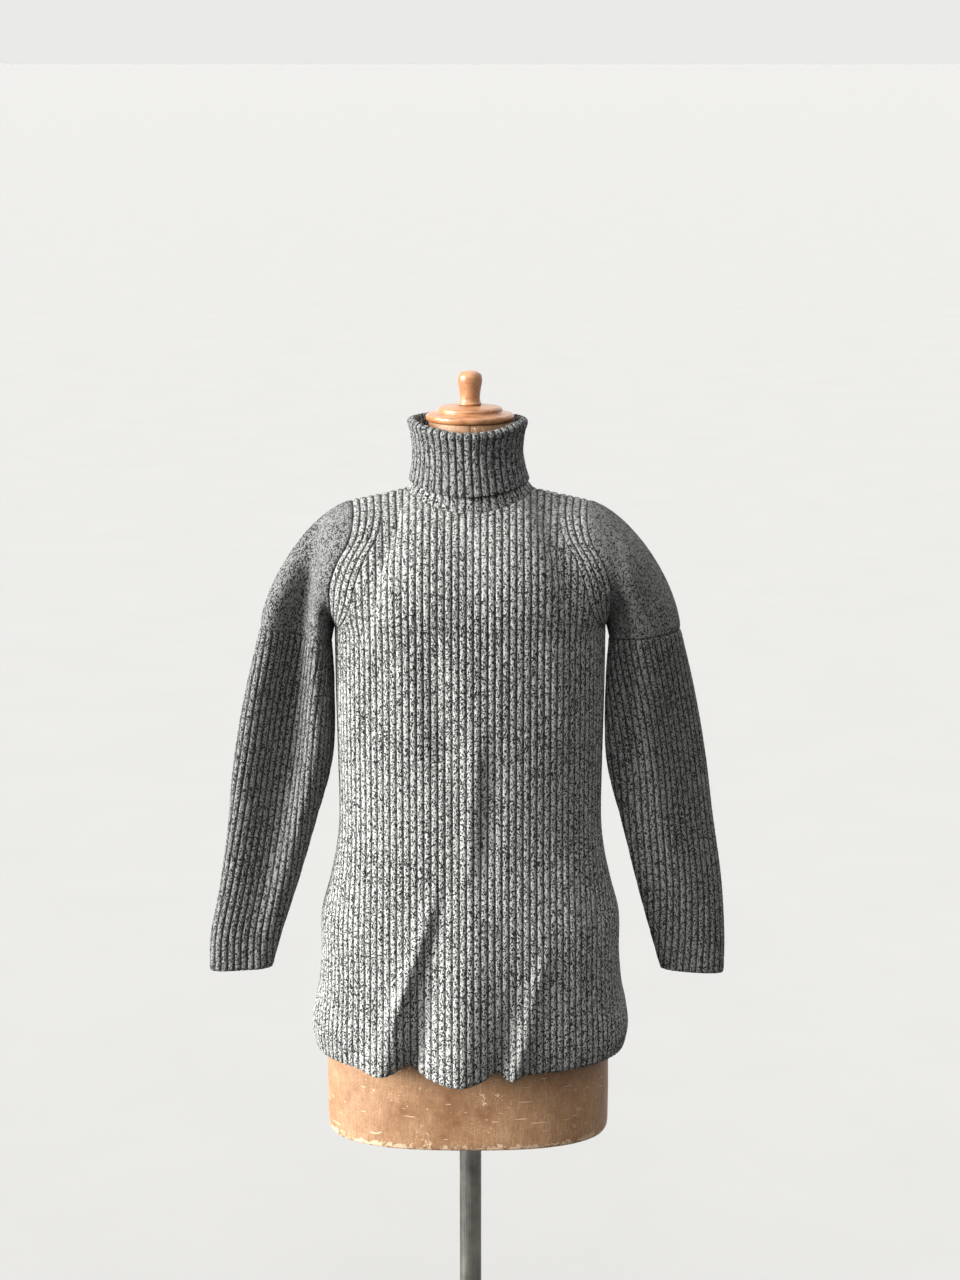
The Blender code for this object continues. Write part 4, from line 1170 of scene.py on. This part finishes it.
def make_light():
    world = bpy.data.worlds.new("studio")
    world.use_nodes = True
    background = world.node_tree.nodes["Background"]
    background.inputs["Color"].default_value = WORLD_COLOUR
    world.cycles_visibility.diffuse = False
    bpy.context.scene.world = world
    for sun in SUNS:
        soft_sun(*sun)


# Everything

def dress(obj, node):
    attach(obj, "root")
    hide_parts(node)


make_camera()
make_floor()
make_light()
bpy.context.scene.view_settings.view_transform = "Standard"

# Painted shade: the sleeves' light yarn tone is painted about half as light as the body's, standing in
# for the shade on the sleeves; it is the same yarn.
sleeve_light_painted_shade = (0.245, 0.25, 0.242)
collar_band = (0.019, (0.43, 0.435, 0.42))  # height of the lighter yarn at the neck, and its tone
body_knit = wool(
    "body_marl_knit", True, BODY_RIB_PITCH, (0.45, 0.455, 0.44), (0.010, 0.011, 0.010), 0.08
)
plain_knit = wool("sleeve_marl_plain", False, 0.0044, sleeve_light_painted_shade, (0.014, 0.015, 0.015), 0.07)
sleeve_knit = wool(
    "sleeve_marl_rib", True, SLEEVE_RIB_PITCH, sleeve_light_painted_shade, (0.012, 0.013, 0.012), 0.07
)
collar_knit = wool(
    "collar_marl_rib", True, 0.0089, (0.262, 0.267, 0.262), (0.012, 0.013, 0.013), 0.07, collar_band
)
skin = aged_skin()
wood = turned_wood()
steel = metal("dull_steel", (0.15, 0.145, 0.13), (0.05, 0.048, 0.043), 0.30, (900.0, 900.0, 14.0))
iron = metal("dark_iron", (0.085, 0.085, 0.083), (0.04, 0.04, 0.04), 0.42, (300.0, 300.0, 300.0))

form = make_form(skin)
dress(form, "form_torso")
cap = make_turned("cap_turning", CAP_PROFILE, CAP_SEAT_Z, wood)
dress(cap, "neck_cap")
finial = make_turned("finial_turning", FINIAL_PROFILE, CAP_SEAT_Z + CAP_TOP + SEAM_GAP, wood)
dress(finial, "finial")
pole_length = FORM[0][0] - 2 * SEAM_GAP - SOCKET_TOP
pole_profile = (
    (POLE_RADIUS - POLE_ROUND, 0.0), (POLE_RADIUS, POLE_ROUND), (POLE_RADIUS, 0.01),
    (POLE_RADIUS, pole_length / 2), (POLE_RADIUS, pole_length - 0.01),
    (POLE_RADIUS, pole_length - POLE_ROUND), (POLE_RADIUS - POLE_ROUND, pole_length),
)
pole = make_turned("pole_tube", pole_profile, SOCKET_TOP + SEAM_GAP, steel, fine=1)
dress(pole, "pole")
foot_profile = (
    (BASE_RADIUS - 0.0025, 0.0), (BASE_RADIUS - 0.0007, 0.0007), (BASE_RADIUS, 0.0025),
    (BASE_RADIUS, 0.0060), (BASE_RADIUS, 0.0095), (BASE_RADIUS - 0.0007, 0.0113),
    (BASE_RADIUS - 0.0025, 0.0120), (0.1200, 0.0122), (0.0400, 0.0124), (0.0290, 0.0127),
    (0.0250, 0.0140), (0.0236, 0.0170), (0.0230, 0.0220), (0.0226, 0.0330), (0.0222, 0.0395),
    (0.0215, 0.0414), (0.0200, SOCKET_TOP), (0.0150, SOCKET_TOP),
)
foot = make_turned("foot_plate", foot_profile, 0.0, iron, steps=192, fine=1)
dress(foot, "base_plate")

front = make_panel("front", body_knit)
dress(front, "front_panel")
back = make_panel("back", body_knit)
dress(back, "back_panel")
for side in ("left", "right"):
    upper = make_sleeve_upper(side, plain_knit)
    dress(upper, "sleeve_upper_" + side)
    lower = make_sleeve_lower(side, sleeve_knit)
    dress(lower, "sleeve_lower_" + side)
collar = make_collar(collar_knit)
dress(collar, "collar")
